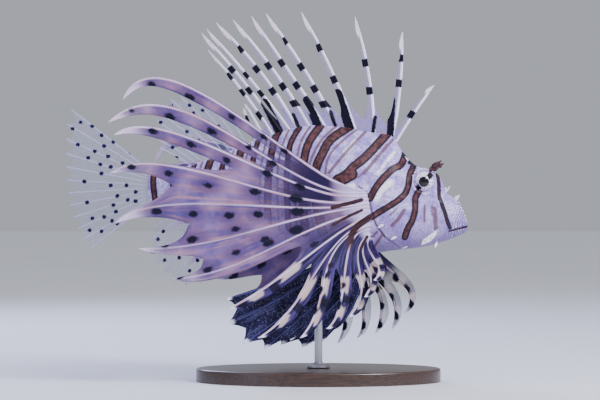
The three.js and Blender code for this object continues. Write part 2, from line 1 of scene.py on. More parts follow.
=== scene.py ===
"""Looks of the life-size red lionfish on its display stand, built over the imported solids.
Sizes are in millimetres in the tables and metres in the meshes; +X is towards the snout, +Z up."""

import math
from functools import partial

import bmesh
import bpy
import numpy as np
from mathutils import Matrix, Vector


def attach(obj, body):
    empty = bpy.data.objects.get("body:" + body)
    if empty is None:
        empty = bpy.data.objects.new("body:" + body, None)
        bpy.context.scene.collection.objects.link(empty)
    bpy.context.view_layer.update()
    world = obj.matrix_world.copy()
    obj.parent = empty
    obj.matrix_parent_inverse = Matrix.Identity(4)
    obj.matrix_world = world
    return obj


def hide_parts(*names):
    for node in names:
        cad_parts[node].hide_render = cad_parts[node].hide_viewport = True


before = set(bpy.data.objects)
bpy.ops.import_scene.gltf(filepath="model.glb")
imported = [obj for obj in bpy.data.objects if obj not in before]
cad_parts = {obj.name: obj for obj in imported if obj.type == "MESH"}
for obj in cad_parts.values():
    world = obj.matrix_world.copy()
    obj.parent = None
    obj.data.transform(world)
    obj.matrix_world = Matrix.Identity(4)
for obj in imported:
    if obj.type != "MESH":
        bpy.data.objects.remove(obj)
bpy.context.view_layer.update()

MM = 0.001
# Height of the fish's own axis above the floor, from which all heights in the tables are taken
AXIS_HEIGHT = 150
# The spot of the side view that the photograph's viewer stands straight in front of, and how far off
VIEWER = {"x": -14, "height": 2, "far": 2000}
# What the photograph's frame covers at the fish, and how much wider and lower this view is
FRAME_WIDTH = 424.5
VIEW = {"closeness": 0.93, "lowered": 0.031, "sensor": 36}
# A side of the fish is the sign of its y; the right side is the near one
RIGHT, LEFT = -1, 1
WORD = {RIGHT: "right", LEFT: "left"}

# Body sections from the tail root to the snout: back x, back height, belly x, belly height, half width
SECTIONS = [
    (-128.5, 9.8, -128.5, -13.4, 3.2),
    (-117, 10.2, -117, -15, 4.6),
    (-100, 13.4, -101, -19.5, 7),
    (-72, 23.2, -74, -28.8, 12),
    (-42, 35.6, -44, -39.4, 17.5),
    (-10, 44.2, -12, -47.8, 22),
    (18, 43.4, 16, -51.4, 24.5),
    (42, 39, 40, -52.4, 25.2),
    (56, 36.4, 55, -50.7, 24.2),
    (62.5, 26.8, 67, -49.4, 22.2),
    (70, 17.5, 76.5, -48.3, 20),
    (76.5, 12.8, 84, -46.8, 18.2),
    (84, 11, 90, -45.2, 16.6),
    (91, 7.3, 95.5, -43.6, 15),
    (95, 0, 99.8, -42.2, 13.6),
    (96.6, -6, 103.2, -40.8, 12.2),
    (101.2, -9.4, 106.6, -39.4, 10.8),
    (106.8, -13.8, 109.6, -38, 8.8),
    (110.5, -20.5, 111.6, -36.6, 6.2),
    (112.6, -28, 112.9, -35, 2.6),
]
# How sharply the sections narrow towards the back and the belly
BACK_PINCH, BELLY_PINCH = 1.2, 0.85
GRID = {"full": (340, 260), "quick": (170, 120)}
# Share of the rings that closes each end, and how far the skin goes on there
CAP = {"share": 0.025, "tail": -1.2, "snout": 0.7}
# Weight of an even spacing of the rings, against a spacing by the sections, which stand closer in the head
EVEN_RINGS = 0.75
EYE = {"x": 79.3, "height": 1.7, "y": 10.6, "radius": 9.2, "polished_off": 0.05}
# The skin swells round the eye, and goes in behind its lids
ORBIT = {"reach": 11.8, "rise": 4.6}
SOCKET = {"rim": (6.6, 8.3), "depth": 5}
MOUTH_FRONT, MOUTH_CORNER = (113.8, -32.2), (98.8, -35.9)
# How far the mouth's line bows upwards, and over which share of it the lips fade out at the corner
MOUTH_BOW, LIP_FADE = 0.5, (-0.08, 0.1)
NOSTRILS = [(93.2, -3), (97.5, -10.5)]
GILL_EDGE = [(30, -1.5), (35, -6), (38, -13), (40, -21), (43, -30), (50, -40), (61, -48)]
CHEEK_RIDGE = [(96, -15), (84, -13), (72, -12), (60, -10), (50, -8)]
# Folds of the skin by their distance from a line or a spot: middle, width, and height or depth
LID = [(8.9, 1.2, 1)]
LIPS = [(1.5, 0.9, 0.75), (-1.4, 0.9, 0.65), (0, 0.5, -1.3)]
NOSTRIL = [(0, 0.9, -1.1), (1.5, 0.5, 0.4)]
GILL_FOLD = [(1.2, 1.1, 0.45), (-0.4, 0.7, -0.6)]
CHEEK_FOLD = [(0, 1.3, 0.5)]
# Folds fade out towards the fish's middle plane, between these distances from it
FOLD_FADE = (0.12, 1.8)

# Markings on the flank, as lines in side view: width, then points from top to bottom
BARS = [
    (2.2, [(90.3, 7.1), (91.1, -2.1), (91.1, -8.9), (94.1, -17.7), (96.4, -24.8), (99.2, -33)]),
    (4.2, [(75.9, -4.8), (72.9, -10.6), (72.7, -19.5), (70.6, -27.1), (67.1, -34), (65.1, -40)]),
    (4.2, [(74, 17), (68.8, 7.1), (67.7, 0), (65.8, -6), (61.8, -10.6), (54.2, -15.9), (48.1, -19.5),
           (36.8, -26.9), (29.6, -32.1), (26, -37.2), (23.8, -44.4), (21.6, -51.7)]),
    (4.8, [(66, 23), (62.3, 14.8), (55.9, 11.3), (48.1, 3.9), (41.7, -4.7), (38.9, -10.5)]),
    (6.2, [(52, 38), (42.5, 27.8), (34, 19.1), (26, 12.7), (17, 2.8)]),
    (6.2, [(24, 44), (9.2, 33.6), (3.5, 24.2), (-1.4, 13.4), (-2.8, -1.4), (0, -22.7), (4, -40)]),
    (9, [(24.5, 7.5), (15, 2.5)]),
    (5.6, [(1.4, 44), (-6.5, 32.9), (-10.1, 22.8), (-12, 9.2), (-12, -8.5), (-9.9, -36.8)]),
    (3.6, [(-14.4, 43), (-21.2, 30.7), (-23.3, 16.2), (-24.1, -1.4), (-22.6, -33.3)]),
    (4.8, [(-29.7, 41), (-33.3, 33.2), (-36.1, 19.8), (-38.2, -1.4), (-38.2, -33.3)]),
    (3.4, [(-45, 36), (-49, 20), (-51, 0), (-50, -26)]),
    (5, [(-57, 31), (-61, 16), (-63, 0), (-61, -24)]),
    (3.4, [(-70, 25), (-73, 12), (-75, 0), (-73, -20)]),
    (4.6, [(-81, 20), (-85, 8), (-86, 0), (-85, -18)]),
    (3, [(-94, 15), (-97, 5), (-97, -15)]),
    (4.6, [(-108, 12), (-110, 3), (-109, -14)]),
    (4, [(-124, 10), (-125.5, 2), (-124, -13)]),
]
FINE_LINES = [
    (3, [(87.6, -18.5), (88, -25), (88.6, -34)]),
    (1.3, [(79.9, -15.9), (79.9, -28.3)]),
    (1.1, [(85.6, -16.3), (85.6, -23.4)]),
    (1.8, [(56.6, 34), (46, 21.9), (34, 7.8)]),
    (2, [(36, 40), (21.2, 24.7), (7.8, 8.5)]),
    (1.6, [(30, 42), (17, 31.8), (7.1, 19.1), (5, 0), (8, -20)]),
    (1.8, [(13, 43.5), (2.8, 33.9), (-4.2, 21.9), (-7.8, 9.2), (-7.5, -20)]),
    (1.5, [(-6.4, 43.5), (-12.7, 33.2), (-16.3, 19.8), (-18, 0), (-16.5, -34)]),
    (1.3, [(-21.9, 42.4), (-27, 30), (-30.5, 14), (-31, -10), (-30, -32)]),
    (1.2, [(-38, 38), (-42, 22), (-44.5, 0), (-44, -28)]),
    (1.2, [(-51, 33), (-55, 18), (-57, 0), (-56, -24)]),
    (1.2, [(-64, 27), (-67, 14), (-69, -2), (-67, -20)]),
    (1.2, [(-88, 17), (-91, 6), (-91, -14)]),
    (1.2, [(-101, 13), (-103, 4), (-102, -13)]),
    (2.4, [(64.4, -19.5), (60, -26.2), (55.2, -31.2)]),
    (1.1, [(59.4, -17.7), (53.8, -23.4)]),
    (1.3, [(52, 30), (39.6, 15.5), (29.7, 4.9)]),
    (1.2, [(20, -30), (14, -38), (12, -48)]),
    (1.8, [(41.8, -47.8), (48.3, -38)]),
    (1.4, [(38, -43), (44, -36)]),
    (1, [(30, -1.5), (35, -6), (38, -13), (40, -21), (43, -30), (50, -40)]),
]
# Brown lines that cross the root of the pectoral fin on each side
FIN_LINES = [
    (4.2, [(48, -19.5), (36.8, -26.9), (29.6, -32.1), (26, -37.2), (23.8, -44.4), (21.6, -54)]),
    (2.4, [(33, -12), (26, -14), (10.6, -17.7)]),
    (1.6, [(33, -20), (22, -25), (10.5, -31.6)]),
    (1.6, [(37, -40), (33, -48), (31, -56)]),
]
# Dark patches in side view: x, height, radius
DARK_PATCHES = [(65.5, 21.5, 2.4), (69.5, 16.5, 2), (73, 13, 1.5), (15.5, 0.5, 2.6)]
# White streaks, as the bars
WHITE_STREAKS = [
    (5.2, [(19.5, -3.4), (25.5, -1.6)]),
    (6, [(42.5, -11), (47, -4), (54, 1)]),
    (4, [(31, -17), (35, -10)]),
    (3, [(57, 24), (48, 13), (44, 8)]),
    (3.4, [(28, 33), (20, 24)]),
]
# Heights between which painted shade comes in from below: the belly is painted darker as if in shadow
PAINTED_BELLY_SHADE = (-52, -18)
# Width of a scale of the moulded skin
SCALE_SIZE = 1.5
# Fine dark lines round the tip of the snout, about 1.9 mm apart; in metres
SNOUT_LINES = {
    "centre": (0.116, 0, 0.118), "radians_per_metre": 3300, "uneven": 0.004, "fade": (0.016, 0.025),
}

# Pectoral rays: handles and end of each path, spread, share joined by membrane, free membrane's width
PECTORAL_RAYS = [
    ((-3, -9, -122, 127, -149, 64), 58, 0.3, 8.5),
    ((-24, -17, -105, 98, -160, 47), 60, 0.36, 9.5),
    ((-13, -20, -120, 67, -156, 37), 60, 0.53, 9),
    ((-19, -28, -116, 36, -159, 8), 60, 0.76, 8),
    ((-13, -28, -122, 1, -155, -30), 60, 0.74, 8),
    ((-22, -21, -76, -52, -137, -49), 56, 0.78, 6),
    ((-15, -30, -58, -71, -112, -72), 52, 0.4, 6.5),
    ((1, -43, -31, -78, -69, -95), 50, 0.45, 7.5),
    ((-1, -45, -8, -96, -46, -117), 50, 0.45, 7.5),
    ((-9, -50, 14, -90, -14, -117), 48, 0.45, 7.5),
    ((12, -35, 27, -98, 6, -110), 46, 0.48, 7),
    ((17, -58, 47, -75, 23, -101), 46, 0.5, 7),
    ((25, -57, 50, -68, 35, -86), 48, 0.55, 6),
    ((34, -52, 55, -65, 42, -73), 50, 0, 5),
]
FIN_ROOT = [(35, -5), (38, -22), (37, -42)]
# How deep the roots of the pectoral fins lie in the body, and how much thicker the fins are there
FIN_ROOT_SINK, FIN_BASE_FLESH = 3, 3
# The far fin, from its uppermost ray to its lowest: turn in degrees, scale, and spread sideways
LEFT_FIN = {
    "turn": (13, 18),
    "scale": [0.82, 0.8, 0.76, 0.72, 0.85, 0.95, 1.2, 2],
    "spread": [100, 98, 92, 84, 66, 50, 36, 28],
}
# Its spots lie along the rays, at shares that shift a little from ray to ray
LEFT_SPOTS = {"shares": (0.32, 0.5, 0.68, 0.86), "shift": 0.03, "steps": 87, "below": 2, "radius": 3.6}
# Cream patches and dark bands on the lower rays, as shares of their length
CREAM_PATCHES = [(0.56, 0.72), (0.82, 0.93)]
DARK_BANDS = [(0.665, 0.735), (0.875, 0.945)]
# Dark spots on the pectoral fin in side view: x, height, radius
PECTORAL_SPOTS = [
    (-127, 76, 3.5), (-98, 66, 4.2), (-66, 51, 3.2), (-42, 36, 3.2), (-26, 25, 3.2),
    (-142, 56, 2.5), (-113, 51, 4.2), (-81, 40, 3.9), (-53, 28, 2.8), (-35, 16, 3.5),
    (-126, 40, 3.5), (-97, 30, 3.9), (-70, 18, 3.5), (-39, 8, 4.2), (-14, -2, 4.2),
    (-142, 13, 3.5), (-114, 8, 3.5), (-84, -1, 3.5), (-48, -6, 4.2), (-17, -11, 5),
    (-123, -21, 4.2), (-95, -23, 3.9), (-68, -24, 3.9), (-46, -23, 3.9), (-16, -21, 5),
    (-117, -47, 2.8), (-96, -42, 4.2), (-63, -34, 3.5), (-17, -35, 5.3), (-41, -42, 3.5),
    (-105, -71, 2.5), (-84, -65, 3.5), (-63, -52, 3.5), (-38, -45, 4.2), (-16, -35, 3.5),
    (-30, -62, 2.8), (-41, -67, 2.1), (-59, -77, 2.8), (-3, -46, 3.5), (-3, -96, 3.5),
    (-14, -77, 3.5), (7, -69, 2.8), (15, -92, 4.2), (1, -81, 3.5), (9, -62, 2.8),
    (29, -82, 3.9), (19, -77, 2.8), (37, -77, 3.5),
]

# Root of the pelvic fins, how far their rays bow out, and how far the first and last spread sideways
PELVIC = {"x": 29, "height": -48, "y": 6.5, "length": 9, "bow": 7, "spread": (34, 16)}
PELVIC_TIPS = {
    RIGHT: [(-70, -87), (-68, -106), (-57, -121), (-41, -125), (-21, -119), (-1, -104)],
    LEFT: [(-56, -101), (-44, -114), (-28, -122), (-12, -124), (3, -120), (15, -110)],
}

# Dorsal spines: root x, handle and tip
DORSAL_SPINES = [
    (58.7, 73, 55, 88, 75),
    (56.2, 65, 76, 64, 116),
    (42.5, 42, 84, 28, 127),
    (29, 12, 89, -13, 131),
    (14.9, -8, 89, -40, 130),
    (6.4, -22, 87, -51, 128),
    (-5.9, -31, 88, -65, 125),
    (-15.4, -40, 88, -78, 123),
    (-20.8, -51, 82, -85, 118),
    (-27.6, -56, 81, -89, 115),
    (-33.7, -56, 72, -84, 102),
    (-41, -48, 50, -56, 61),
    (-46.7, -52, 45, -57, 58),
]
# Where the dark rings are in side view; each goes to the nearest spine
SPINE_RINGS = [
    (72, 52), (61, 96), (59, 77), (34, 92), (38, 71), (0, 103), (12, 79), (-25, 110), (-13, 90),
    (-2, 73), (6, 62), (-27, 93), (-15, 76), (-37, 91), (-25, 75), (-16, 62), (-58, 104),
    (-46, 88), (-34, 72), (-54, 83), (-42, 70), (-64, 88), (-51, 72), (-68, 82), (-58, 70),
    (-46, 52), (-53, 50),
]
# Dark wedges that run from the back up into the spines: width, then points
SPINE_WEDGES = [
    (6.5, [(-29.7, 39.6), (-41, 62)]),
    (6.5, [(0.7, 41), (-8.5, 64)]),
    (7, [(24.1, 41), (14.9, 69)]),
    (5.5, [(54.5, 34.6), (55.9, 64)]),
    (3, [(-14.2, 41), (-19.1, 53)]),
    (3, [(14.2, 41), (9.2, 55)]),
    (3, [(41, 36), (43.2, 51)]),
]
# Share of a spine that the membrane joins to the next, and how deep the spine's root lies in the back
SPINE_WEB, SPINE_SINK = 0.13, 2.5
# The banner behind each spine has a waist and a leaf-like end; the last three spines stand closer
BANNER = {"wide": 4.5, "narrow": 2.7, "narrow_from": 10, "blunt": 8}
BANNER_FORM = {"plain": 0.85, "folds": [(0.78, 0.06, -0.4), (0.9, 0.06, 0.1)]}

# Clear fins: number of rays, where their roots are, their rise in degrees at both ends, their lengths,
# how much the rays bend, where the root lies against the skin, and the radius of the fin's spots
SOFT_DORSAL = {
    "rays": 11, "from": -54, "to": -95, "rise": (56, 30), "lengths": [42, 54, 60, 57, 44, 30],
    "bend": -5, "root": -2, "spot": 1.5,
}
ANAL = {
    "rays": 10, "from": -102, "to": -66, "rise": (-32, -84), "lengths": [29, 46, 54, 58, 50, 30],
    "bend": 5, "root": 2, "spot": 1.5,
}
CAUDAL = {
    "rays": 12, "rise": (38, -38), "lengths": [79, 71, 66, 64, 62, 62],
    "bend": 0, "root": 2, "inset": 1, "spot": 1.6,
}
# Dark spots of the clear fins in side view: x, height
CLEAR_FIN_SPOTS = [
    (-181, 47), (-172, 44), (-187, 42), (-165, 37), (-156, 32), (-151, 34), (-163, 29), (-143, 24),
    (-170, 25), (-160, 21), (-149, 16), (-175, 20), (-166, 15), (-158, 13), (-165, 8), (-158, -1),
    (-146, -1), (-139, -6), (-153, -9), (-145, -12), (-139, -13), (-156, -16), (-154, -21),
    (-163, -25), (-157, -28), (-153, -30), (-174, -35), (-165, -36), (-178, 2), (-176, -14),
    (-183, 30), (-172, -26), (-121, 62), (-112, 60), (-98, 60), (-76, 65), (-88, 56), (-95, 54),
    (-120, 47), (-100, 40), (-76, 44), (-91, 33), (-111, 28), (-116, 23), (-108, 20), (-61, 55),
    (-70, 54), (-84, 47), (-104, 50), (-133, -31), (-133, -35), (-130, -38), (-118, -36),
    (-122, -42), (-134, -45), (-137, -54), (-132, -59), (-129, -62), (-126, -52), (-117, -58),
    (-124, -70), (-116, -73), (-102, -77), (-113, -79), (-108, -82), (-90, -79), (-98, -66),
    (-106, -56), (-92, -58),
]

# Fins are thin sheets: half their thickness, and the width of a ridge along a ray and its height at the tip
SHEET = 0.17
RIDGE = {"width": 0.5, "at_tip": 0.14}
# How far from its root a fleshy base thins out, and half the length of a dark ring on a spine
FLESH_REACH, RING_HALF = 28, 3
# A value for a mark that is nowhere near
FAR = 99
# Free side of a membrane: least width, how fast it narrows past its joined part, most of the gap it takes
FREE_SIDE = {"least": 0.22, "narrowing": 14, "of_gap": 0.46}
# Spots of a fin are drawn out along its rays and a little smaller than their table says
FIN_SPOT = {"along": 0.72, "across": 1.2, "size": 0.78}
# Specks of the pelvic fins: the cells that hold one each, and the corner that they are counted from
SPECKS = {"cell": (1.1919, 0.38627, 0.84444), "corner": (-68.999, -40.797, 26.842)}
# How much the lacquer of a fin varies in roughness
SHINE_SPREAD = 0.15

# Flaps of the head, for the left side: rows of x, height and length, or root, reach, width and thickness
EYE_FLAPS = {"count": 6, "from": 62, "apart": 19, "radius": 8.6, "reach": (-0.2, 0.8, 2), "size": (1.3, 1)}
CHEEK_FLAPS = [(50, -29.5, 7), (60, -38.5, 7), (68, -46, 6)]
SNOUT_FLAPS = [(97.5, -6.5, 6), (105.5, -12, 5)]
LIP_FLAPS = {
    "count": 9, "start": (104.5, -12.5), "apart": (0.85, -1.9), "foremost": 110.5, "size": (0.6, 0.4),
}
NAPE_FLAP = ((68, 4.5, 14), (-3, 1.5, 7), 3.2, 2)
CHIN_FLAP = ((90, 7, -43.5), (-2, 0.8, -5), 1.8, 0.9)
# Branches of the brow tentacle: root, tip, width, thickness and how ragged it is
BROW_LEAVES = [
    ((83.2, 7.9, 9.6), (95, 10.6, 15.6), 3.4, 1.2, 0.5),
    ((84, 8.2, 10), (93.2, 10.8, 18), 2.6, 1.1, 0.6),
    ((86, 8.6, 11), (89.4, 10.2, 16.6), 2.2, 1, 0.6),
]
# The mouth tentacle: x, height and distance from the skin at its root and tip, and its form
MOUTH_LEAF = {"root": (90, -34, -0.2), "tip": (77.4, -46.5, 4), "form": (4.8, 1.3, 0.12)}
# A flap's faces, its width at the root and past its middle, and the notches of a ragged edge
LEAF = {"around": 14, "along": 12, "root": 0.35, "swell": 0.9, "notches": 19}

BASE = {"length": 186, "width": 118, "thick": 10, "edge": 1.5}
# The rod goes a little into the belly; a fillet joins it to its flange
ROD = {"x": 0, "radius": 3, "flange": 9, "flange_thick": 3, "edge": 0.5, "sink": 1.5}
ROD_FILLET = [(0.8, 0.4), (0, 1.5)]
# Clear gap between the base and the flange
GAP = 0.3
# How many times finer the wood's grain and the steel's brushing are along x, y and z
GRAIN_STRETCH, BRUSH_STRETCH = (1, 14, 14), (1, 1, 30)

# Studio, in metres and watts: half the floor's edge, the lamps, a wide soft sun and the pale surround
FLOOR_HALF = 6
LAMPS = [
    ("key", (0.75, -0.8, 0.95), 0.45, 29, "#EEF0FF"),
    ("fill", (-1, -1, 0.5), 1, 3, "#C9D0FF"),
    ("back", (-0.5, 0.9, 0.8), 0.6, 14, "#C4CCFF"),
]
SUN = {"strength": 0.75, "degrees": 60}
SURROUND = {"colour": "#DDE1EC", "strength": 0.58}

# The setting that says what a kind of shader node does, and which it is where a call names none
NODE_MODES = {
    "Attribute": ("attribute_name", ""),
    "MapRange": ("interpolation_type", "SMOOTHSTEP"),
    "Math": ("operation", "MULTIPLY"),
    "Mix": ("data_type", "RGBA"),
    "VectorMath": ("operation", "LENGTH"),
}


def linear(code):
    """A linear colour from its sRGB hex code."""
    parts = [int(code[i : i + 2], 16) / 255 for i in (1, 3, 5)]
    return [c / 12.92 if c <= 0.04045 else ((c + 0.055) / 1.055) ** 2.4 for c in parts] + [1]


def between(rows, place):
    """Values between a table's rows at each place, on a smooth curve through them."""
    rows = np.asarray(rows, float)
    place = np.asarray(place, float)
    i = np.clip(np.floor(place).astype(int), 0, len(rows) - 2)
    t = place - i
    if rows.ndim > 1:
        t = t[..., None]
    p, q, r, s = (rows[np.clip(i + k, 0, len(rows) - 1)] for k in (-1, 0, 1, 2))
    return q + 0.5 * t * (r - p + t * (2 * p - 5 * q + 4 * r - s + t * (3 * (q - r) + s - p)))


def ramp(low, high, value):
    """0 below low, 1 above high and smooth between them."""
    t = np.clip((value - low) / (high - low), 0, 1)
    return t * t * (3 - 2 * t)


def bump(value, width):
    """1 where the value is 0, falling smoothly to nearly 0 at twice the width."""
    return np.exp(-((value / width) ** 2))


def folds(far, table):
    """Height of ridges and grooves at a distance from their line or spot."""
    return sum(height * bump(far - middle, width) for middle, width, height in table)


def from_line(x, height, points):
    """Distance of each spot of the side view from a line, and on which side of it the spot is."""
    best = np.full(x.shape, math.inf)
    turn = np.zeros(x.shape)
    for (ax, az), (bx, bz) in zip(points, points[1:]):
        dx, dz = bx - ax, bz - az
        t = np.clip(((x - ax) * dx + (height - az) * dz) / (dx * dx + dz * dz), 0, 1)
        far = np.hypot(x - ax - t * dx, height - az - t * dz)
        side = np.sign(dx * (height - az) - dz * (x - ax))
        turn = np.where(far < best, side, turn)
        best = np.minimum(best, far)
    return best, turn


def smooth(points):
    """The same line with bends in place of corners."""
    return [tuple(spot) for spot in between(points, np.linspace(0, len(points) - 1, 5 * len(points)))]


def from_edges(x, height, lines):
    """Distance of each spot from the edge of the nearest wide line, negative inside it."""
    apart = [from_line(x, height, smooth(points))[0] - width / 2 for width, points in lines]
    return np.min(apart, axis=0)


def from_spots(x, height, spots, root=None):
    """Distance from the rim of the nearest spot. Spots of a fin are longer along its rays."""
    apart = []
    for sx, sz, radius in spots:
        dx, dz = x - sx, height - sz
        if root is not None:
            away = math.hypot(sx - root[0], sz - root[1])
            ux, uz = (sx - root[0]) / away, (sz - root[1]) / away
            along, across = dx * ux + dz * uz, dz * ux - dx * uz
            dx, dz = along * FIN_SPOT["along"], across * FIN_SPOT["across"]
            radius = radius * FIN_SPOT["size"]
        apart.append(np.hypot(dx, dz) - radius)
    return np.min(apart, axis=0)


# Body skin


def skin_points(place, angle):
    """x, y and height above the axis of the skin, in millimetres."""
    back_x, back, belly_x, belly, half = np.moveaxis(between(SECTIONS, place), -1, 0)
    v, side = np.sin(angle), np.cos(angle)
    x = (back_x + belly_x) / 2 + v * (back_x - belly_x) / 2
    height = (back + belly) / 2 + v * (back - belly) / 2
    reach = np.abs(side) ** np.where(v > 0, BACK_PINCH, BELLY_PINCH)
    far = np.hypot(x - EYE["x"], height - EYE["height"]) / ORBIT["reach"]
    rise = ORBIT["rise"] * np.exp(-(far**4))
    return x, np.sign(side) * (reach * half + rise * np.sqrt(reach)), height


def solve(rising, low, high):
    """The place between low and high where a rising function is 0."""
    for _ in range(40):
        middle = (low + high) / 2
        low, high = (middle, high) if rising(middle) < 0 else (low, middle)
    return (low + high) / 2


LAST = len(SECTIONS) - 1


def flank_at(x, height):
    """Half width of the body at a spot of its side view."""

    def across(place):
        back_x, back, belly_x, belly, _ = between(SECTIONS, place)
        return belly_x + (back_x - belly_x) * (height - belly) / (back - belly) - x

    place = solve(across, 0, LAST)
    _, back, _, belly, _ = between(SECTIONS, place)
    v = np.clip((2 * height - back - belly) / (back - belly), -1, 1)
    return abs(skin_points(place, math.asin(v))[1])


def back_at(x):
    """Height of the back at x."""
    return between(SECTIONS, solve(lambda p: between(SECTIONS, p)[0] - x, 0, LAST))[1]


def belly_at(x):
    """Height of the belly at x."""
    return between(SECTIONS, solve(lambda p: between(SECTIONS, p)[2] - x, 0, LAST))[3]


def skin_relief(x, height):
    """How far the skin stands out from the plain loft: lids, sockets, lips, nostrils, gill cover."""
    from_eye = np.hypot(x - EYE["x"], height - EYE["height"])
    relief = folds(from_eye, LID) - SOCKET["depth"] * (1 - ramp(*SOCKET["rim"], from_eye))
    (fx, fz), (cx, cz) = MOUTH_FRONT, MOUTH_CORNER
    length = math.hypot(fx - cx, fz - cz)
    ux, uz = (fx - cx) / length, (fz - cz) / length
    along = ((x - cx) * ux + (height - cz) * uz) / length
    bow = MOUTH_BOW * np.sin(np.clip(along, 0, 1) * math.pi)
    off = (height - cz) * ux - (x - cx) * uz - bow
    relief = relief + folds(off, LIPS) * ramp(*LIP_FADE, along)
    for nx, nz in NOSTRILS:
        relief = relief + folds(np.hypot(x - nx, height - nz), NOSTRIL)
    far, side = from_line(x, height, GILL_EDGE)
    relief = relief + folds(far * side, GILL_FOLD)
    return relief + folds(from_line(x, height, CHEEK_RIDGE)[0], CHEEK_FOLD)


def skin_mesh():
    """The body as one closed tube of fine rings, drawn in to a point at both ends."""
    rings, around = GRID["full"]
    bm = bmesh.new()
    bmesh.ops.create_grid(bm, x_segments=rings, y_segments=around, size=1)
    mesh = bpy.data.meshes.new("skin")
    bm.to_mesh(mesh)
    flat = np.empty(len(mesh.vertices) * 3)
    mesh.vertices.foreach_get("co", flat)
    u, v = (flat.reshape(-1, 3)[:, k] / 2 + 0.5 for k in (0, 1))
    cap = CAP["share"]
    body = np.clip((u - cap) / (1 - 2 * cap), 0, 1)
    # how far along the body each ring stands, by the spacing that the table above asks for
    places = np.linspace(0, LAST, 1000)
    rows = between(SECTIONS, places)
    middle = (rows[:, 0] + rows[:, 2]) / 2
    even = (middle - middle[0]) / (middle[-1] - middle[0])
    share = EVEN_RINGS * even + (1 - EVEN_RINGS) * places / LAST
    place = np.interp(body, share, places)
    x, y, height = skin_points(place, v * 2 * math.pi)
    relief = skin_relief(x, height) * ramp(*FOLD_FADE, np.abs(y))
    x, y, height = out_along_normals(mesh, x, y, height, relief)
    for end, edge, reach in ((u < cap, 0, CAP["tail"]), (u > 1 - cap, LAST, CAP["snout"])):
        back_x, back, belly_x, belly, _ = between(SECTIONS, edge)
        inward = np.where(end, (cap - np.minimum(u, 1 - u)) / cap, 0)
        shrink = np.sqrt(np.clip(1 - inward**2, 0, 1))
        mid_x, mid = (back_x + belly_x) / 2, (back + belly) / 2
        x = np.where(end, mid_x + (x - mid_x) * shrink + reach * inward, x)
        y = np.where(end, y * shrink, y)
        height = np.where(end, mid + (height - mid) * shrink, height)
    co = np.stack([x, y, height + AXIS_HEIGHT], 1) * MM
    mesh.vertices.foreach_set("co", co.ravel())
    put(mesh, "bar", from_edges(x, height, BARS))
    put(mesh, "fine", from_edges(x, height, FINE_LINES))
    put(mesh, "dark", from_spots(x, height, DARK_PATCHES))
    put(mesh, "white", from_edges(x, height, WHITE_STREAKS))
    put(mesh, "mouth", from_line(x, height, [MOUTH_CORNER, MOUTH_FRONT])[0])
    bm = bmesh.new()
    bm.from_mesh(mesh)
    bmesh.ops.remove_doubles(bm, verts=bm.verts, dist=1e-6)
    bmesh.ops.recalc_face_normals(bm, faces=bm.faces)
    for face in bm.faces:
        face.smooth = True
    bm.to_mesh(mesh)
    return mesh


def out_along_normals(mesh, x, y, height, relief):
    """The skin's spots, each moved out along its normal by its relief."""
    mesh.vertices.foreach_set("co", np.stack([x, y, height], 1).ravel())
    mesh.update()
    normals = np.empty(len(mesh.vertices) * 3)
    mesh.vertices.foreach_get("normal", normals)
    normals = normals.reshape(-1, 3)
    # the loft's own direction is checked once, because the grid may come out turned inside
    outward = np.sign(np.sum(normals[:, 1] * y))
    shift = normals * (relief * outward)[:, None]
    return x + shift[:, 0], y + shift[:, 1], height + shift[:, 2]


def put(mesh, name, values):
    """Keeps a value at every vertex for the paint to read."""
    layer = mesh.attributes.new(name, "FLOAT", "POINT")
    layer.data.foreach_set("value", np.asarray(values, np.float32))


# Fins


def seen(x, height, depth):
    """The spot at a depth that the photograph's viewer sees at a place of the side view, in metres."""
    nearer = 1 + depth / VIEWER["far"]
    shown_x = VIEWER["x"] + (x - VIEWER["x"]) * nearer
    shown = VIEWER["height"] + (height - VIEWER["height"]) * nearer
    return Vector((shown_x, depth, AXIS_HEIGHT + shown)) * MM


def side_view(x, depth, above_floor):
    """The other way round: where a spot, in millimetres, shows in the side view."""
    nearer = 1 + depth / VIEWER["far"]
    shown = above_floor - AXIS_HEIGHT - VIEWER["height"]
    return VIEWER["x"] + (x - VIEWER["x"]) / nearer, VIEWER["height"] + shown / nearer


def bezier(numbers, steps=240):
    """Points and directions along a curve of the side view, at even steps of its length."""
    handles = np.array(numbers, float).reshape(-1, 2)
    n = len(handles) - 1
    t = np.linspace(0, 1, steps * 4 + 1)
    terms = [math.comb(n, k) * t**k * (1 - t) ** (n - k) for k in range(n + 1)]
    points = np.stack(terms, 1) @ handles
    far = np.r_[0, np.cumsum(np.hypot(*np.diff(points, axis=0).T))]
    even = np.linspace(0, far[-1], steps + 1)
    line = np.stack([np.interp(even, far, points[:, k]) for k in (0, 1)], 1)
    along = np.gradient(line, axis=0)
    along /= np.hypot(*along.T)[:, None]
    return line, along, far[-1]


def ray_line(numbers, root_depth, tip_depth, **look):
    """A fin ray: spots in metres along it, and which way its fin goes on at each."""
    line, along, length = bezier(numbers, look.pop("steps", 80))
    share = np.linspace(0, 1, len(line))
    depth = root_depth + (tip_depth - root_depth) * share**0.9
    spots = [seen(x, z, d) for (x, z), d in zip(line, depth)]
    across = [Vector((-dz, 0, dx)) for dx, dz in along]
    return {"spots": spots, "across": across, "share": share, "length": length, **look}


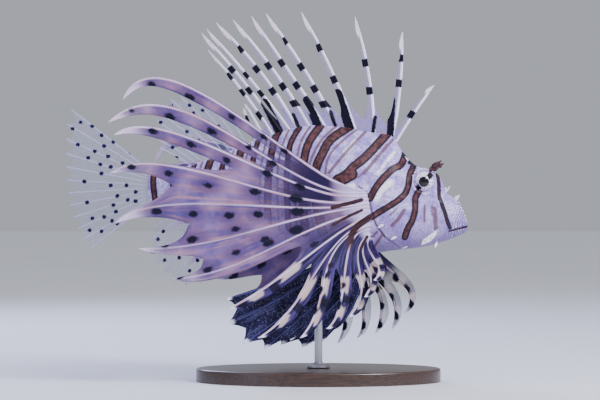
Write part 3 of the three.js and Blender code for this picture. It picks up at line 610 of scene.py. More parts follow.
def half_widths(rays, i):
    """How far a ray's membrane goes on each side at each step, in metres, and if it is joined there."""
    ray = rays[i]
    taper = np.maximum(0.02, 1 - ray["share"] ** ray.get("blunt", 4)) ** 0.8
    sides = []
    for other, web, lobe in ((i - 1, rays[i - 1]["web"], ray["fore"]), (i + 1, ray["web"], ray["aft"])):
        plain = np.maximum(FREE_SIDE["least"], lobe_shape(ray, lobe) * taper) * MM
        if other < 0 or other >= len(rays):
            sides.append((plain, np.zeros(len(plain), bool)))
            continue
        gaps = np.array([(a - b).length for a, b in zip(ray["spots"], rays[other]["spots"])])
        joined = ray["share"] <= web
        end = max(0, int(joined.sum()) - 1)
        past = np.clip((ray["share"] - web) / (1 - web), 0, 1)
        narrowing = np.exp(-(ray["share"] - web) * FREE_SIDE["narrowing"]) * (1 - past) ** 0.6
        near = (gaps[end] / 2 - plain) * narrowing
        free = np.minimum(plain + np.maximum(0, near), FREE_SIDE["of_gap"] * gaps)
        sides.append((np.where(joined, gaps / 2, free), joined))
    return sides


def lobe_shape(ray, lobe):
    """Width of a membrane's free side along its ray, which only a spine's banner varies."""
    if lobe < BANNER["narrow"] or "leaf" not in ray:
        return lobe
    return lobe * (BANNER_FORM["plain"] + folds(ray["share"], BANNER_FORM["folds"]))


def fin_mesh(name, rays, columns, spots, lines=(), flesh=0, root=None, rings=None):
    """A fin as one closed thin sheet with a ridge on both faces along each ray."""
    bm = bmesh.new()
    marks = ("ray", "along", "fan", "half", "ring")
    layers = {mark: bm.verts.layers.float.new(mark) for mark in marks}
    for i, ray in enumerate(rays):
        (fore, fore_joined), (aft, aft_joined) = half_widths(rays, i)
        steps = len(ray["spots"]) - 1
        grid = bmesh.ops.create_grid(bm, x_segments=columns, y_segments=steps, size=1)
        for v in grid["verts"]:
            u, k = v.co.x, round((v.co.y + 1) / 2 * steps)
            spot, across = ray["spots"][k], ray["across"][k]
            reach = abs(u) ** 1.5
            width, joined, other = (fore, fore_joined, i - 1) if u < 0 else (aft, aft_joined, i + 1)
            plain = across * (-1 if u < 0 else 1)
            if 0 <= other < len(rays):
                toward = (rays[other]["spots"][k] - spot).normalized()
                web = rays[min(i, other)]["web"]
                plain = toward.lerp(plain, float(ramp(web, web + 0.2, ray["share"][k]))).normalized()
            edge = spot + plain * width[k]
            if joined[k]:
                edge = (spot + rays[other]["spots"][k]) / 2
            v.co = spot.lerp(edge, reach)
            away = (edge - spot).length * reach / MM
            share = ray["share"][k]
            high = ray["ridge"] + (RIDGE["at_tip"] - ray["ridge"]) * share
            ridge = high * math.exp(-((away / RIDGE["width"]) ** 2))
            thick = max(0, 1 - share * ray["length"] / FLESH_REACH) ** 1.5 * flesh
            v[layers["ray"]] = away
            v[layers["along"]] = share
            v[layers["fan"]] = i + u / 2
            v[layers["half"]] = (SHEET + ridge + thick) * MM
            if rings:
                apart = [abs(share - ring) * ray["length"] - RING_HALF for ring in rings[i]]
                v[layers["ring"]] = min([FAR] + apart)
    bmesh.ops.remove_doubles(bm, verts=bm.verts, dist=2e-6)
    bmesh.ops.recalc_face_normals(bm, faces=bm.faces)
    thicken(bm, layers["half"])
    mesh = bpy.data.meshes.new(name)
    bm.to_mesh(mesh)
    mesh.shade_smooth()
    flat = np.empty(len(mesh.vertices) * 3)
    mesh.vertices.foreach_get("co", flat)
    x, height = side_view(*(flat.reshape(-1, 3) / MM).T)
    put(mesh, "bar", from_edges(x, height, FIN_LINES))
    dark = from_spots(x, height, spots, root) if spots else np.full(len(x), float(FAR))
    if lines:
        dark = np.minimum(dark, from_edges(x, height, lines))
    put(mesh, "dark", dark)
    return mesh


def thicken(bm, half):
    """Gives a flat sheet two faces, each its own distance from the middle, and a rim."""
    bm.normal_update()
    number = bm.verts.layers.int.new("number")
    fronts = list(bm.verts)
    rims = [e for e in bm.edges if e.is_boundary]
    for n, v in enumerate(fronts):
        v[number] = n
    normals = [v.normal.copy() for v in fronts]
    copy = bmesh.ops.duplicate(bm, geom=bm.verts[:] + bm.edges[:] + bm.faces[:])
    backs = {v[number]: v for v in copy["geom"] if isinstance(v, bmesh.types.BMVert)}
    turned = [f for f in copy["geom"] if isinstance(f, bmesh.types.BMFace)]
    bmesh.ops.reverse_faces(bm, faces=turned)
    for v, normal in zip(fronts, normals):
        v.co += normal * v[half]
        backs[v[number]].co -= normal * v[half]
    for edge in rims:
        a, b = edge.verts
        bm.faces.new((a, b, backs[b[number]], backs[a[number]]))
    bmesh.ops.recalc_face_normals(bm, faces=bm.faces)


def pectoral(side):
    """A pectoral fin; the far one is the near one's rays, turned, scaled and spread wider."""
    rays = []
    last = len(PECTORAL_RAYS) - 1
    for i, (path, spread, web, lobe) in enumerate(PECTORAL_RAYS):
        t = i / last
        x, height = between(FIN_ROOT, t * (len(FIN_ROOT) - 1))
        turn, scale = 0, 1
        if side == LEFT:
            low, high = LEFT_FIN["turn"]
            turn = math.radians(low + (high - low) * t)
            scale = between(LEFT_FIN["scale"], t * (len(LEFT_FIN["scale"]) - 1))
            spread = between(LEFT_FIN["spread"], t * (len(LEFT_FIN["spread"]) - 1))
        numbers = [x, height]
        for px, pz in zip(path[::2], path[1::2]):
            ax, az = px - x, pz - height
            numbers.append(x + scale * (ax * math.cos(turn) - az * math.sin(turn)))
            numbers.append(height + scale * (ax * math.sin(turn) + az * math.cos(turn)))
        root = side * (flank_at(x, height) - FIN_ROOT_SINK)
        look = {"web": web, "fore": 1.3, "aft": lobe - 0.1, "blunt": 7, "ridge": 0.7, "steps": 90}
        rays.append(ray_line(numbers, root, root + side * spread, **look))
    spots = PECTORAL_SPOTS
    if side == LEFT:
        spots = []
        for n, ray in enumerate(rays):
            for share in LEFT_SPOTS["shares"]:
                k = round((share + LEFT_SPOTS["shift"] * (n % 3)) * LEFT_SPOTS["steps"])
                x, height = side_view(*(ray["spots"][k] / MM))
                spots.append((x, height - LEFT_SPOTS["below"], LEFT_SPOTS["radius"]))
    name = f"pectoral_skin_{WORD[side]}"
    return fin_mesh(name, rays, 12, spots, flesh=FIN_BASE_FLESH, root=FIN_ROOT[1])


def pelvic(side):
    """A pelvic fin, whose rays all bow the same way."""
    tips = PELVIC_TIPS[side]
    rays = []
    for i, (tip_x, tip_z) in enumerate(tips):
        t = i / (len(tips) - 1)
        x, height = PELVIC["x"] + PELVIC["length"] * t, PELVIC["height"]
        bow = PELVIC["bow"]
        middle = ((x + tip_x) / 2 + bow * t, (height + tip_z) / 2 - bow)
        high, low = PELVIC["spread"]
        tip = PELVIC["y"] + high + (low - high) * t
        look = {"web": 0.93, "fore": 1.6, "aft": 1.6, "ridge": 0.7, "steps": 70}
        rays.append(ray_line((x, height, *middle, tip_x, tip_z), side * PELVIC["y"], side * tip, **look))
    return fin_mesh(f"pelvic_skin_{WORD[side]}", rays, 16, [])


def spines():
    """The dorsal spines, each with its banner of membrane, joined to the next only near the back."""
    rays = []
    for i, (x, *path) in enumerate(DORSAL_SPINES):
        aft = BANNER["wide" if i < BANNER["narrow_from"] else "narrow"]
        look = {"web": SPINE_WEB, "fore": 0.75, "aft": aft, "ridge": 0.8, "leaf": True, "steps": 90}
        look["blunt"] = BANNER["blunt"]
        rays.append(ray_line((x, back_at(x) - SPINE_SINK, *path), 0, 0, **look))
    rings = [[] for _ in rays]
    for x, z in SPINE_RINGS:
        apart = []
        for ray in rays:
            spots = np.array(ray["spots"]) / MM
            apart.append(np.hypot(spots[:, 0] - x, spots[:, 2] - AXIS_HEIGHT - z))
        i = int(np.argmin([far.min() for far in apart]))
        rings[i].append(rays[i]["share"][apart[i].argmin()])
    return fin_mesh("dorsal_spine_skin", rays, 8, [], SPINE_WEDGES, rings=rings)


def soft_ray(x, height, rise, length, bend):
    """A straight or bent ray that leaves its root backwards, at an angle in degrees."""
    numbers = [x, height]
    for share, angle in ((0.5, rise - bend), (1, rise)):
        numbers.append(x - length * share * math.cos(math.radians(angle)))
        numbers.append(height + length * share * math.sin(math.radians(angle)))
    look = {"web": 0.92, "fore": 1.2, "aft": 1.2, "ridge": 0.5, "steps": 40}
    return ray_line(numbers, 0, 0, **look)


def clear_fin(name, fin, root_at):
    """A clear fin on the middle plane; root_at gives the x and height of a ray's root by its share."""
    rays = []
    for i in range(fin["rays"]):
        t = i / (fin["rays"] - 1)
        length = between(fin["lengths"], t * (len(fin["lengths"]) - 1))
        rise = fin["rise"][0] + (fin["rise"][1] - fin["rise"][0]) * t
        rays.append(soft_ray(*root_at(t), rise, length, fin["bend"]))
    return fin_mesh(name, rays, 8, [(x, z, fin["spot"]) for x, z in CLEAR_FIN_SPOTS])


def soft_fin(name, fin, surface):
    """The soft dorsal or anal fin, rooted in the back or the belly."""

    def root_at(t):
        x = fin["from"] + (fin["to"] - fin["from"]) * t
        return x, surface(x) + fin["root"]

    return clear_fin(name, fin, root_at)


def caudal():
    """The tail fin, whose rays fan out from the last section of the body."""
    x, back, _, belly, _ = SECTIONS[0]
    top, bottom = back - CAUDAL["inset"], belly + CAUDAL["inset"]

    def root_at(t):
        return x + CAUDAL["root"], top + (bottom - top) * t

    return clear_fin("caudal_skin", CAUDAL, root_at)


# Materials


def plug(socket, value):
    """Gives a socket a link, a plain value or a hex code's colour; None leaves it as it is."""
    if isinstance(value, bpy.types.NodeSocket):
        socket.id_data.links.new(value, socket)
    elif isinstance(value, str):
        socket.default_value = linear(value)
    elif value is not None:
        socket.default_value = value


def node(tree, kind, *values, out=None):
    """Adds a node and returns its output. Its kind may name its mode; values go to its sockets in order."""
    kind, _, mode = kind.partition(" ")
    made = tree.nodes.new("ShaderNode" + kind)
    if kind in NODE_MODES:
        setting, usual = NODE_MODES[kind]
        setattr(made, setting, mode or usual)
    sockets = [socket for socket in made.inputs if socket.enabled]
    for socket, value in zip(sockets, values):
        plug(socket, value)
    return made.outputs[out] if out else next(socket for socket in made.outputs if socket.enabled)


def material(name):
    """A new material, its shader, and what adds a node to it."""
    made = bpy.data.materials.new(name)
    made.use_nodes = True
    return made, made.node_tree.nodes["Principled BSDF"], partial(node, made.node_tree)


def dress(shader, **values):
    """Gives the shader's sockets their links and values, by their names with _ for a space."""
    for name, value in values.items():
        plug(shader.inputs[name.replace("_", " ")], value)


def per_metre(size):
    """How often a pattern of that size, in millimetres, comes in a metre."""
    return 1 / (size * MM)


def band(add, value, low, high):
    """1 where the value is between low and high, with soft ends."""
    soft = (high - low) * 0.2
    rise = add("MapRange", value, low, low + soft)
    return add("Math MULTIPLY", rise, add("MapRange", value, high - soft, high, 1, 0))


def streaks(add, across, along, detail=3):
    """Noise drawn out along the rays: so many streaks from ray to ray and along a ray's length."""
    fan = add("Math MULTIPLY", add("Attribute fan", out="Fac"), across)
    run = add("Math MULTIPLY", add("Attribute along", out="Fac"), along)
    return add("TexNoise", add("CombineXYZ", fan, run), 1, detail)


def fish_skin():
    """Cast resin, moulded with small scales, airbrushed and lacquered thinly.

    The scales break its shine into small dull glints, and the sprayed bars have soft, uneven edges."""
    made, shader, add = material("painted_cast_resin_skin")
    where = add("TexCoord", out="Object")
    wobble = add("Math MULTIPLY_ADD", add("TexNoise", where, per_metre(3.5), 3), 1.6, -0.8)
    ripple = add("Math MULTIPLY_ADD", add("TexNoise", where, per_metre(0.9), 3), 0.7, -0.35)
    wobble = add("Math ADD", wobble, ripple)
    # ground coat: lavender in wide soft patches, small darker blotches, and painted shade that darkens the
    # belly
    patches = add("MapRange", add("TexNoise", where, per_metre(9), 3), 0.35, 0.65, 1, 0)
    coat = add("Mix", patches, "#D0C3F0", "#9E88D0")
    blotch = add("MapRange", add("TexNoise", where, per_metre(2.2), 4), 0.38, 0.5, 1, 0)
    coat = add("Mix", add("Math MULTIPLY", blotch, 0.5), coat, "#7560A8")
    # painted shade: the coat turns a darker mauve from below towards the belly, standing in for the
    # underside's shadow
    low, high = ((AXIS_HEIGHT + height) * MM for height in PAINTED_BELLY_SHADE)
    belly = add("MapRange", add("SeparateXYZ", where, out="Z"), low, high, 1, 0)
    coat = add("Mix", add("Math MULTIPLY", belly, 0.9), coat, "#846EA4")
    white = add("Math MULTIPLY_ADD", wobble, 1.6, add("Attribute white", out="Fac"))
    coat = add("Mix", add("MapRange", white, -1.4, 0.6, 1, 0), coat, "#FFFDFF")
    # the scales' rims, then the fine lines and the bars, which are browner inside than at their edges
    scales = add("TexVoronoi", where, per_metre(SCALE_SIZE))
    rims = add("Math MULTIPLY", add("MapRange", scales, 0.38, 0.62), 0.3)
    coat = add("Mix", rims, coat, "#6A5698")
    fine = add("Math MULTIPLY_ADD", wobble, 0.35, add("Attribute fine", out="Fac"))
    fine = add("Math MULTIPLY", add("MapRange", fine, -0.3, 0.6, 1, 0), 0.85)
    coat = add("Mix", fine, coat, "#623E46")
    bar = add("Math MULTIPLY_ADD", wobble, 0.6, add("Attribute bar", out="Fac"))
    coat = add("Mix", add("MapRange", bar, 0.1, 0.9, 1, 0), coat, "#1C0D1C")
    mottle = add("MapRange", add("TexNoise", where, per_metre(3.4), 4), 0.3, 0.7, 1, 0)
    inside = add("Mix", mottle, "#30161A", "#63393C")
    coat = add("Mix", add("MapRange", bar, -1.4, -0.6, 1, 0), coat, inside)
    # thin dark lines that follow the folds of the snout
    snout = add("VectorMath DISTANCE", where, SNOUT_LINES["centre"])
    uneven = add("TexNoise", where, per_metre(5), 3)
    away = add("Math MULTIPLY_ADD", uneven, SNOUT_LINES["uneven"], snout)
    rings = add("Math SINE", add("Math MULTIPLY", away, SNOUT_LINES["radians_per_metre"]))
    near = add("Math MULTIPLY", add("MapRange", snout, *SNOUT_LINES["fade"], 1, 0), 0.8)
    rings = add("Math MULTIPLY", add("MapRange", rings, -0.8, 0, 1, 0), near)
    coat = add("Mix", rings, coat, "#3A2A55")
    dark = add("Math ADD", add("Attribute dark", out="Fac"), wobble)
    coat = add("Mix", add("MapRange", dark, -0.4, 0.5, 1, 0), coat, "#120C22")
    mouth = add("MapRange", add("Attribute mouth", out="Fac"), 0.35, 0.95, 1, 0)
    coat = add("Mix", mouth, coat, "#3A1524")
    shine = add("Math MULTIPLY_ADD", uneven, 0.25, 0.4)
    dress(shader, Base_Color=coat, Roughness=shine)
    dress(shader, Specular_IOR_Level=0.25, Coat_Weight=0.05, Coat_Roughness=0.35)
    height = add("Math MULTIPLY_ADD", scales, -0.5, add("TexNoise", where, per_metre(1.8), 4))
    dress(shader, Normal=add("Bump", 0.7, 0.35 * MM, None, height))
    return made


def pectoral_look(name, far_side):
    """Thin cast resin sheet, airbrushed mauve and rose with dark spots, satin lacquer.

    It gives a dull, streaky sheen along the rays and clear patches that show the body behind them."""
    made, shader, add = material(name)
    where = add("TexCoord", out="Object")
    share = add("Attribute along", out="Fac")
    ray = add("Attribute ray", out="Fac")
    fan = add("Attribute fan", out="Fac")
    lower = add("MapRange", fan, 6.2, 6.9)
    not_lower = add("Math SUBTRACT", 1, lower)
    wobble = add("Math MULTIPLY_ADD", add("TexNoise", where, per_metre(3), 3), 3, -1.5)
    streak = streaks(add, 7, 5)
    patches = add("MapRange", add("TexNoise", where, per_metre(16), 3), 0.35, 0.65, 1, 0)
    colour = add("Mix", patches, "#886C9C", "#5A4A84")
    warm = add("Math MULTIPLY", add("MapRange", streak, 0.36, 0.6, 1, 0), 0.7)
    colour = add("Mix", warm, colour, "#AC7E88")
    colour = add("Mix", add("MapRange", share, 0.8, 0.98), colour, "#D9C2DC")
    # violet patches round the spots of the free upper rays
    dark = add("Math ADD", add("Attribute dark", out="Fac"), wobble)
    spots = add("MapRange", dark, -1, 1, 1, 0)
    halo = add("Math ADD", dark, add("Math MULTIPLY_ADD", streak, 6, -3))
    halo = add("Math MULTIPLY", add("MapRange", halo, 0.5, 11, 1, 0), 0.7)
    colour = add("Mix", halo, colour, "#3F2F66")
    # lower rays: dark violet membrane with cream patches beyond the middle, dark bands and white tips
    under = add("Mix", add("MapRange", streak, 0.38, 0.6, 1, 0), "#1A1434", "#463870")
    uneven = add("Math MULTIPLY_ADD", streak, 0.12, share)
    for low, high in CREAM_PATCHES:
        patch = add("Math MULTIPLY", band(add, uneven, low, high), add("MapRange", ray, 3.2, 5, 1, 0))
        under = add("Mix", patch, under, "#BDA9A8")
    for low, high in DARK_BANDS:
        stain = add("Math MULTIPLY", band(add, share, low, high), 0.9)
        under = add("Mix", stain, under, "#0B0820")
    under = add("Mix", add("MapRange", share, 0.945, 0.97), under, "#F4EEFF")
    colour = add("Mix", lower, colour, under)
    # dark stripes between the rays near the root, which itself is pale
    fading = add("Math MULTIPLY_ADD", streak, 0.16, share)
    stripe = add("MapRange", fading, 0.26, 0.56, 1, 0)
    stripe = add("Math MULTIPLY", add("MapRange", share, 0.09, 0.14), stripe)
    stripe = add("Math MULTIPLY", stripe, add("MapRange", ray, 0.7, 1.5))
    upper = add("MapRange", fan, 2.6, 4, 1, 0)
    stripe = add("Math MULTIPLY", stripe, add("Math MULTIPLY_ADD", upper, 0.5, 0.5))
    colour = add("Mix", stripe, colour, "#1C1236")
    colour = add("Mix", add("MapRange", share, 0.03, 0.13, 1, 0), colour, "#C9B8E2")
    # pale rays, fainter on the outer part of the middle ones
    webbed = add("Math MULTIPLY", add("MapRange", share, 0.3, 0.55), add("MapRange", fan, 2.6, 3.2))
    webbed = add("Math MULTIPLY", webbed, not_lower)
    strength = add("Math MULTIPLY_ADD", webbed, -0.4, 0.85)
    line = add("Math MULTIPLY", add("MapRange", ray, 0.4, 1, 1, 0), strength)
    ray_colour = add("Mix", add("MapRange", streak, 0.4, 0.5, 1, 0), "#DCCBEA", "#C9948F")
    colour = add("Mix", line, colour, ray_colour)
    brown = add("Math MULTIPLY_ADD", wobble, 0.3, add("Attribute bar", out="Fac"))
    brown = add("MapRange", brown, 0, 0.7, 1, 0)
    brown = add("Math MULTIPLY", brown, add("MapRange", share, 0.2, 0.3, 1, 0))
    colour = add("Mix", brown, colour, "#3A2228")
    colour = add("Mix", spots, colour, "#0A0720")
    # the membrane lets the body's bars show near the root, and is clear low on the far fin
    window = band(add, add("Math MULTIPLY_ADD", streak, 0.1, share), 0.2, 0.5)
    window = add("Math MULTIPLY", window, add("MapRange", ray, 0.9, 1.6))
    window = add("Math MULTIPLY", window, not_lower)
    solid = add("Math MULTIPLY_ADD", window, -0.3 if far_side else -0.58, 0.94)
    if far_side:
        clear = add("Math MULTIPLY", lower, add("MapRange", ray, 0.8, 1.4))
        clear = add("Math MULTIPLY", clear, add("MapRange", share, 0.35, 0.5))
        solid = add("Math MULTIPLY_ADD", clear, -0.62, solid)
    solid = add("Math MAXIMUM", solid, spots)
    solid = add("Math MAXIMUM", solid, add("Math MULTIPLY", stripe, upper))
    dress(shader, Base_Color=colour, Alpha=solid)
    finish_fin(shader, add, 0.58)
    return made


def finish_fin(shader, add, rough):
    """The lacquer of a fin: uneven in its shine, over fine ribs that run with the rays."""
    where = add("TexCoord", out="Object")
    uneven = add("TexNoise", where, per_metre(4), 3)
    shine = add("Math MULTIPLY_ADD", uneven, SHINE_SPREAD, rough - SHINE_SPREAD / 2)
    ribs = streaks(add, 16, 9, 4)
    dress(shader, Roughness=shine, Specular_IOR_Level=0.12)
    dress(shader, Normal=add("Bump", 0.35, 0.5 * MM, None, ribs))


def pelvic_look():
    """Thin cast resin sheet, airbrushed blue black with pale streaks, specks and rim, satin lacquer.

    It gives a dark fin whose folds show by their sheen and pale edge."""
    made, shader, add = material("painted_resin_sheet_indigo")
    where = add("TexCoord", out="Object")
    share = add("Attribute along", out="Fac")
    ray = add("Attribute ray", out="Fac")
    patches = add("MapRange", add("TexNoise", where, per_metre(10), 3), 0.35, 0.65, 1, 0)
    colour = add("Mix", patches, "#0D0C22", "#232044")
    vein = add("MapRange", streaks(add, 9, 3, 5), 0.34, 0.46, 1, 0)
    colour = add("Mix", add("Math MULTIPLY", vein, 0.5), colour, "#4C4C78")
    line = add("Math MULTIPLY", add("MapRange", ray, 0.3, 0.8, 1, 0), 0.4)
    colour = add("Mix", line, colour, "#5A58A0")
    scale = [per_metre(size) for size in SPECKS["cell"]]
    start = [-corner / size for corner, size in zip(SPECKS["corner"], SPECKS["cell"])]
    cells = add("TexVoronoi", add("Mapping", where, start, None, scale), 1)
    specks = add("MapRange", cells, 0.1, 0.17, 1, 0)
    colour = add("Mix", specks, colour, "#E6E0FA")
    rim = add("Math MULTIPLY", add("MapRange", share, 0.95, 0.98), add("MapRange", ray, 1.2, 2.2, 1, 0))
    colour = add("Mix", rim, colour, "#F2EEFF")
    dress(shader, Base_Color=colour)
    finish_fin(shader, add, 0.4)
    return made


def spine_look():
    """Cast resin spines with a thin clear banner, airbrushed lavender with blue black rings.

    It gives bright solid shafts and tips with a banner that can be seen through between the rings."""
    made, shader, add = material("painted_cast_resin_spines")
    where = add("TexCoord", out="Object")
    share = add("Attribute along", out="Fac")
    ray = add("Attribute ray", out="Fac")
    shaft = add("MapRange", ray, 0.9, 1.4, 1, 0)
    colour = add("Mix", add("TexNoise", where, per_metre(4), 3), "#A896DC", "#7B6CC4")
    rose = add("MapRange", add("TexNoise", where, per_metre(2.5), 3), 0.36, 0.5, 1, 0)
    colour = add("Mix", rose, colour, "#B98E9E")
    colour = add("Mix", shaft, colour, "#EFE8FB")
    tips = add("MapRange", share, 0.8, 0.86)
    tip_colour = add("Mix", add("TexNoise", where, per_metre(5), 3), "#F6F0FC", "#D9B9C8")
    colour = add("Mix", tips, colour, tip_colour)
    wobble = add("Math MULTIPLY_ADD", add("TexNoise", where, per_metre(2), 3), 1.6, -0.8)
    ring = add("Math MINIMUM", add("Attribute dark", out="Fac"), add("Attribute ring", out="Fac"))
    ring = add("MapRange", add("Math ADD", ring, wobble), -0.5, 0.6, 1, 0)
    colour = add("Mix", ring, colour, "#0E0A1E")
    root = add("Math MULTIPLY_ADD", add("MapRange", share, 0.12, 0.3, 1, 0), 0.3, 0.14)
    solid = add("Math MAXIMUM", add("Math MAXIMUM", shaft, tips), ring)
    solid = add("Math MAXIMUM", solid, root)
    dress(shader, Base_Color=colour, Alpha=solid)
    finish_fin(shader, add, 0.5)
    return made


def clear_look():
    """Thin clear resin sheet, faintly tinted lavender and sprayed with small dark spots.

    It gives a fin of which little but the rays and the spots is seen."""
    made, shader, add = material("clear_resin_sheet_spotted")
    where = add("TexCoord", out="Object")
    colour = add("Mix", add("TexNoise", where, per_metre(8), 3), "#B9B6E2", "#9FA4DC")
    line = add("MapRange", add("Attribute ray", out="Fac"), 0.25, 0.7, 1, 0)
    colour = add("Mix", add("Math MULTIPLY", line, 0.6), colour, "#DAD6F2")
    wobble = add("Math MULTIPLY_ADD", add("TexNoise", where, per_metre(1.5), 3), 1.4, -0.7)
    dark = add("Math ADD", add("Attribute dark", out="Fac"), wobble)
    dark = add("MapRange", dark, -0.3, 0.5, 1, 0)
    colour = add("Mix", dark, colour, "#131038")
    solid = add("Math MAXIMUM", dark, add("Math MULTIPLY_ADD", line, 0.28, 0.1))
    dress(shader, Base_Color=colour, Alpha=solid)
    finish_fin(shader, add, 0.35)
    return made


def flap_look(name, colours, mottle, relief):
    """Soft cast resin with sprayed colour, unlacquered: it gives small fleshy flaps a half-dull, uneven face.

    Mottle is its size, detail and range; relief is its size, detail, strength and depth."""
    made, shader, add = material(name)
    where = add("TexCoord", out="Object")
    size, detail, low, high = mottle
    share = add("MapRange", add("TexNoise", where, per_metre(size), detail), low, high, 1, 0)
    colour = add("Mix", share, *colours[:2])
    if len(colours) > 2:
        share = add("MapRange", add("TexNoise", where, per_metre(2.4), 2), 0.3, 0.36, 1, 0)
        colour = add("Mix", share, colour, colours[2])
    size, detail, strength, deep = relief
    height = add("TexNoise", where, per_metre(size), detail)
    dress(shader, Base_Color=colour, Roughness=0.5)
    dress(shader, Normal=add("Bump", strength, deep * MM, None, height))
    return made


def eye_look():
    """Painted glass eye, polished: dark pupil, whitish speckled iris crossed by a dark bar.

    It gives a deep, wet look with one sharp highlight."""
    made, shader, add = material("painted_glass_eye")
    where = add("TexCoord", out="Object")
    x = add("Math SUBTRACT", add("SeparateXYZ", where, out="X"), EYE["x"] * MM)
    z = add("Math SUBTRACT", add("SeparateXYZ", where, out="Z"), (AXIS_HEIGHT + EYE["height"]) * MM)
    far = add("Math MULTIPLY", add("VectorMath LENGTH", add("CombineXYZ", x, z)), 1 / MM)
    speckle = add("MapRange", add("TexNoise", where, per_metre(1.1), 4), 0.4, 0.46, 1, 0)
    iris = add("Mix", speckle, "#EDE6FA", "#3E2C54")
    iris = add("Mix", add("MapRange", far, 6.8, 8.2), iris, "#9C8CBC")
    # the bar runs slantwise through the pupil's middle
    slant = add("Math MULTIPLY", add("Math SUBTRACT", x, z), math.sqrt(0.5) / MM)
    wobble = add("Math MULTIPLY_ADD", add("TexNoise", where, per_metre(2), 3), 1.6, -0.8)
    slant = add("Math ABSOLUTE", add("Math ADD", slant, wobble))
    iris = add("Mix", add("MapRange", slant, 1.7, 2.4, 1, 0), iris, "#150A18")
    iris = add("Mix", add("MapRange", far, 4.2, 4.5, 1, 0), iris, "#C9BCE4")
    iris = add("Mix", add("MapRange", far, 3.8, 4.1, 1, 0), iris, "#040308")
    dress(shader, Base_Color=iris, Roughness=0.2, Specular_IOR_Level=0.3)
    dress(shader, Coat_Weight=0.5, Coat_Roughness=0.03)
    return made


def base_look():
    """Hardwood, cut to an oval and sanded, stained dark, with a satin lacquer.

    It gives long fine grain along the base under a soft, even shine."""
    made, shader, add = material("stained_lacquered_wood")
    stretched = add("Mapping", add("TexCoord", out="Object"), None, None, GRAIN_STRETCH)
    grain = add("TexNoise", stretched, per_metre(16), 5, 0.6)
    colour = add("Mix", add("MapRange", grain, 0.35, 0.65, 1, 0), "#2E211C", "#4A3328")
    dress(shader, Base_Color=colour, Roughness=add("Math MULTIPLY_ADD", grain, 0.12, 0.28))
    dress(shader, Coat_Weight=0.3, Coat_Roughness=0.15)
    dress(shader, Normal=add("Bump", 0.15, 0.2 * MM, None, grain))
    return made


def rod_look():
    """Stainless steel, brushed round the rod's girth.

    It gives a grey metal whose highlight is broken into fine level lines."""
    made, shader, add = material("brushed_stainless_steel")
    stretched = add("Mapping", add("TexCoord", out="Object"), None, None, BRUSH_STRETCH)
    brushed = add("TexNoise", stretched, per_metre(9), 4, 0.6)
    dress(shader, Base_Color=add("Mix", brushed, "#A9A9AE", "#C9C9CC"), Metallic=1)
    dress(shader, Roughness=add("Math MULTIPLY_ADD", brushed, 0.2, 0.22))
    dress(shader, Normal=add("Bump", 0.1, 0.05 * MM, None, brushed))
    return made


def floor_look():
    """Studio floor, rolled with matt paint: it gives a plain pale ground with no mirror image."""
    made, shader, add = material("matt_painted_floor")
    cloud = add("TexNoise", add("TexCoord", out="Object"), per_metre(300), 3)
    dress(shader, Base_Color=add("Mix", cloud, "#D9DBE0", "#DFE1E5"), Roughness=0.7)
    return made


# Pieces


def piece(name, mesh, look, nodes):
    """Puts a finished mesh in the scene in place of its solids."""
    made = bpy.data.objects.new(name, mesh)
    bpy.context.collection.objects.link(made)
    made.data.materials.append(look)
    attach(made, "root")
    if nodes:
        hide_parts(*nodes)
    return made


def leaf(bm, root, tip, width, thick, ragged=0.0):
    """A fleshy flap from root to tip, in millimetres, widest past its middle."""
    root, tip = Vector(root), Vector(tip)
    along = tip - root
    flat = Vector((0, 1, 0)).cross(along).normalized()
    face = along.cross(flat).normalized()
    around, rows = LEAF["around"], LEAF["along"]
    ball = bmesh.ops.create_uvsphere(bm, u_segments=around, v_segments=rows, radius=1)
    for v in ball["verts"]:
        t = (v.co.z + 1) / 2
        swell = LEAF["swell"] * math.sin(math.pi * min(1, t * 0.85 + 0.1))
        wide = (LEAF["root"] + swell) * width / 2
        wide *= 1 + ragged * math.sin(t * LEAF["notches"]) * v.co.x
        spot = root + along * t + flat * v.co.x * wide + face * v.co.y * thick / 2
        v.co = (spot + Vector((0, 0, AXIS_HEIGHT))) * MM
    bmesh.ops.recalc_face_normals(bm, faces=bm.faces)


def leaf_mesh(name, leaves):
    """Several flaps as one mesh."""
    bm = bmesh.new()
    for one in leaves:
        leaf(bm, *one)
    mesh = bpy.data.meshes.new(name)
    bm.to_mesh(mesh)
    mesh.shade_smooth()
    return mesh


def on_flank(x, height, side, out):
    """A spot at a distance from the skin of either flank."""
    return Vector((x, side * (flank_at(x, height) + out), height))


def sided(spot, side):
    """A spot or a reach of the left side, as it is on the side that is asked for."""
    return Vector((spot[0], side * spot[1], spot[2]))


